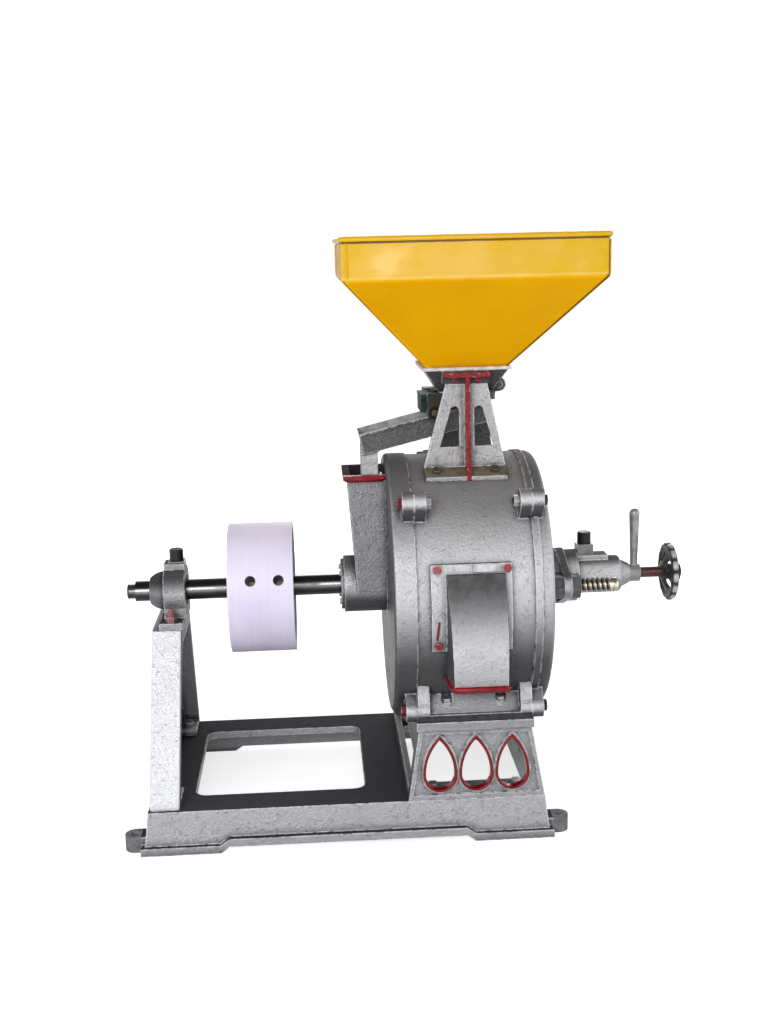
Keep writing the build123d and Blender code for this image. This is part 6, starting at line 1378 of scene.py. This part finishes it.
class MILL_OT_stage(MillOperator, bpy.types.Operator):
    """Sets the floor, the room, the lights and the camera"""

    bl_idname = "mill.stage"
    bl_label = "Floor, light and camera"

    eye = (-0.037, -2.422, 1.100)
    yaw = 3.07
    pitch = 12.05
    roll = -1.38
    sensor = 36.0
    floor_half = 7.0
    floor_level = -0.0004
    aim = (0.1, 0.0, 0.5)
    lamps = (
        ("key", (-0.8, -3.3, 1.7), 2.8, 1.4),
        ("fill", (3.2, -1.0, 1.4), 1.6, 1.6),
        ("side", (-3.2, -0.6, 1.4), 1.6, 1.6),
        ("back", (0.9, 3.3, 1.8), 2.4, 1.6),
    )

    def floor(self):
        """A flat square under the mill that shows white to the camera but keeps the shadow."""
        finish = Finish("floor_white")
        seen = finish.seen()
        far = finish.vector("LENGTH", finish.place, output="Value")
        glow = finish.scaled(finish.step(far, 0.6, 2.4), 0.35, 0.72)
        light = finish.add("Emission", {"Strength": finish.times(seen, glow)})
        plain = finish.add("BsdfDiffuse", {"Color": finish.scaled(seen, 0.12, 0.5)})
        both = finish.add("AddShader", {0: light, 1: plain})
        finish.feed(finish.tree.nodes["Material Output"].inputs["Surface"], both)
        mesh = bpy.data.meshes.new("floor")
        corners = ((-1, -1), (1, -1), (1, 1), (-1, 1))
        points = [(self.floor_half * x, self.floor_half * y, self.floor_level) for x, y in corners]
        mesh.from_pydata(points, [], [(0, 1, 2, 3)])
        mesh.materials.append(finish.material)
        made = bpy.data.objects.new("floor", mesh)
        bpy.context.scene.collection.objects.link(made)

    def room(self, strength):
        """White to the camera and in reflections, dim overhead, and plain grey light on everything else."""
        world = bpy.data.worlds.new("studio")
        world.use_nodes = True
        nodes = Nodes(world.node_tree)
        height = nodes.part(nodes.add("TexCoord", output="Generated"), "Z")
        overhead = nodes.step(height, 0.25, 0.9, 1.0, 0.3)
        light = nodes.add("MapRange", {"Value": nodes.seen(), "To Min": strength, "To Max": overhead})
        back = nodes.tree.nodes["Background"].inputs
        nodes.feed(back["Color"], (1.0, 1.0, 1.0))
        nodes.feed(back["Strength"], light)
        bpy.context.scene.world = world

    def lamp(self, name, place, width, height, watts):
        """A flat rectangular light that faces the mill's middle."""
        data = bpy.data.lights.new(name, "AREA")
        data.shape = "RECTANGLE"
        data.size = width
        data.size_y = height
        data.energy = watts
        made = bpy.data.objects.new(name, data)
        made.location = place
        made.rotation_euler = (Vector(self.aim) - Vector(place)).to_track_quat("-Z", "Y").to_euler()
        bpy.context.scene.collection.objects.link(made)

    def camera(self, lens):
        """Looks from the eye along yaw and pitch, then rolls about its own line of sight."""
        yaw, pitch, roll = (math.radians(a) for a in (self.yaw, self.pitch, self.roll))
        ahead = Vector((math.sin(yaw) * math.cos(pitch), math.cos(yaw) * math.cos(pitch), -math.sin(pitch)))
        right = Vector((math.cos(yaw), -math.sin(yaw), 0.0))
        up = right.cross(ahead)
        right, up = (
            right * math.cos(roll) + up * math.sin(roll),
            up * math.cos(roll) - right * math.sin(roll),
        )
        data = bpy.data.cameras.new("camera")
        data.sensor_width = self.sensor
        data.lens = lens
        made = bpy.data.objects.new("camera", data)
        columns = Matrix((right, up, -ahead)).transposed()
        made.matrix_world = Matrix.Translation(self.eye) @ columns.to_4x4()
        bpy.context.scene.collection.objects.link(made)
        bpy.context.scene.camera = made

    def execute(self, context):
        stage = context.scene.mill_stage
        context.scene.view_settings.view_transform = "Standard"
        self.floor()
        self.room(stage.ambient)
        for name, place, width, height in self.lamps:
            self.lamp(name, place, width, height, getattr(stage, name))
        self.camera(stage.lens)
        return {"FINISHED"}


OPERATORS = (
    MILL_OT_base, MILL_OT_drum, MILL_OT_inlet, MILL_OT_outlet, MILL_OT_bearing, MILL_OT_shaft,
    MILL_OT_pulley, MILL_OT_stones, MILL_OT_adjuster, MILL_OT_handwheel, MILL_OT_bracket,
    MILL_OT_hopper, MILL_OT_feeder, MILL_OT_fasteners, MILL_OT_stage,
)


class MILL_PT_panel(bpy.types.Panel):
    """Lists the mill's operators with its colours and sizes"""

    bl_label = "Flour mill"
    bl_idname = "MILL_PT_panel"
    bl_space_type = "VIEW_3D"
    bl_region_type = "UI"
    bl_category = "Flour mill"

    def draw(self, context):
        for operator in OPERATORS:
            self.layout.operator(operator.bl_idname)
        for group in (context.scene.mill_colours, context.scene.mill_shapes, context.scene.mill_stage):
            box = self.layout.box()
            for name in group.__annotations__:
                box.prop(group, name)


GROUPS = {"mill_colours": MillColours, "mill_shapes": MillShapes, "mill_stage": MillStage}


def register():
    """Makes the groups, operators and panel known to Blender."""
    for made in (*GROUPS.values(), *OPERATORS, MILL_PT_panel):
        bpy.utils.register_class(made)
    for name, group in GROUPS.items():
        setattr(bpy.types.Scene, name, PointerProperty(type=group))


def unregister():
    """Takes them out again."""
    for name in GROUPS:
        delattr(bpy.types.Scene, name)
    for made in reversed((*GROUPS.values(), *OPERATORS, MILL_PT_panel)):
        bpy.utils.unregister_class(made)


def main():
    """Runs every operator in order."""
    register()
    for operator in OPERATORS:
        family, name = operator.bl_idname.split(".")
        getattr(getattr(bpy.ops, family), name)()


if __name__ == "__main__":
    main()
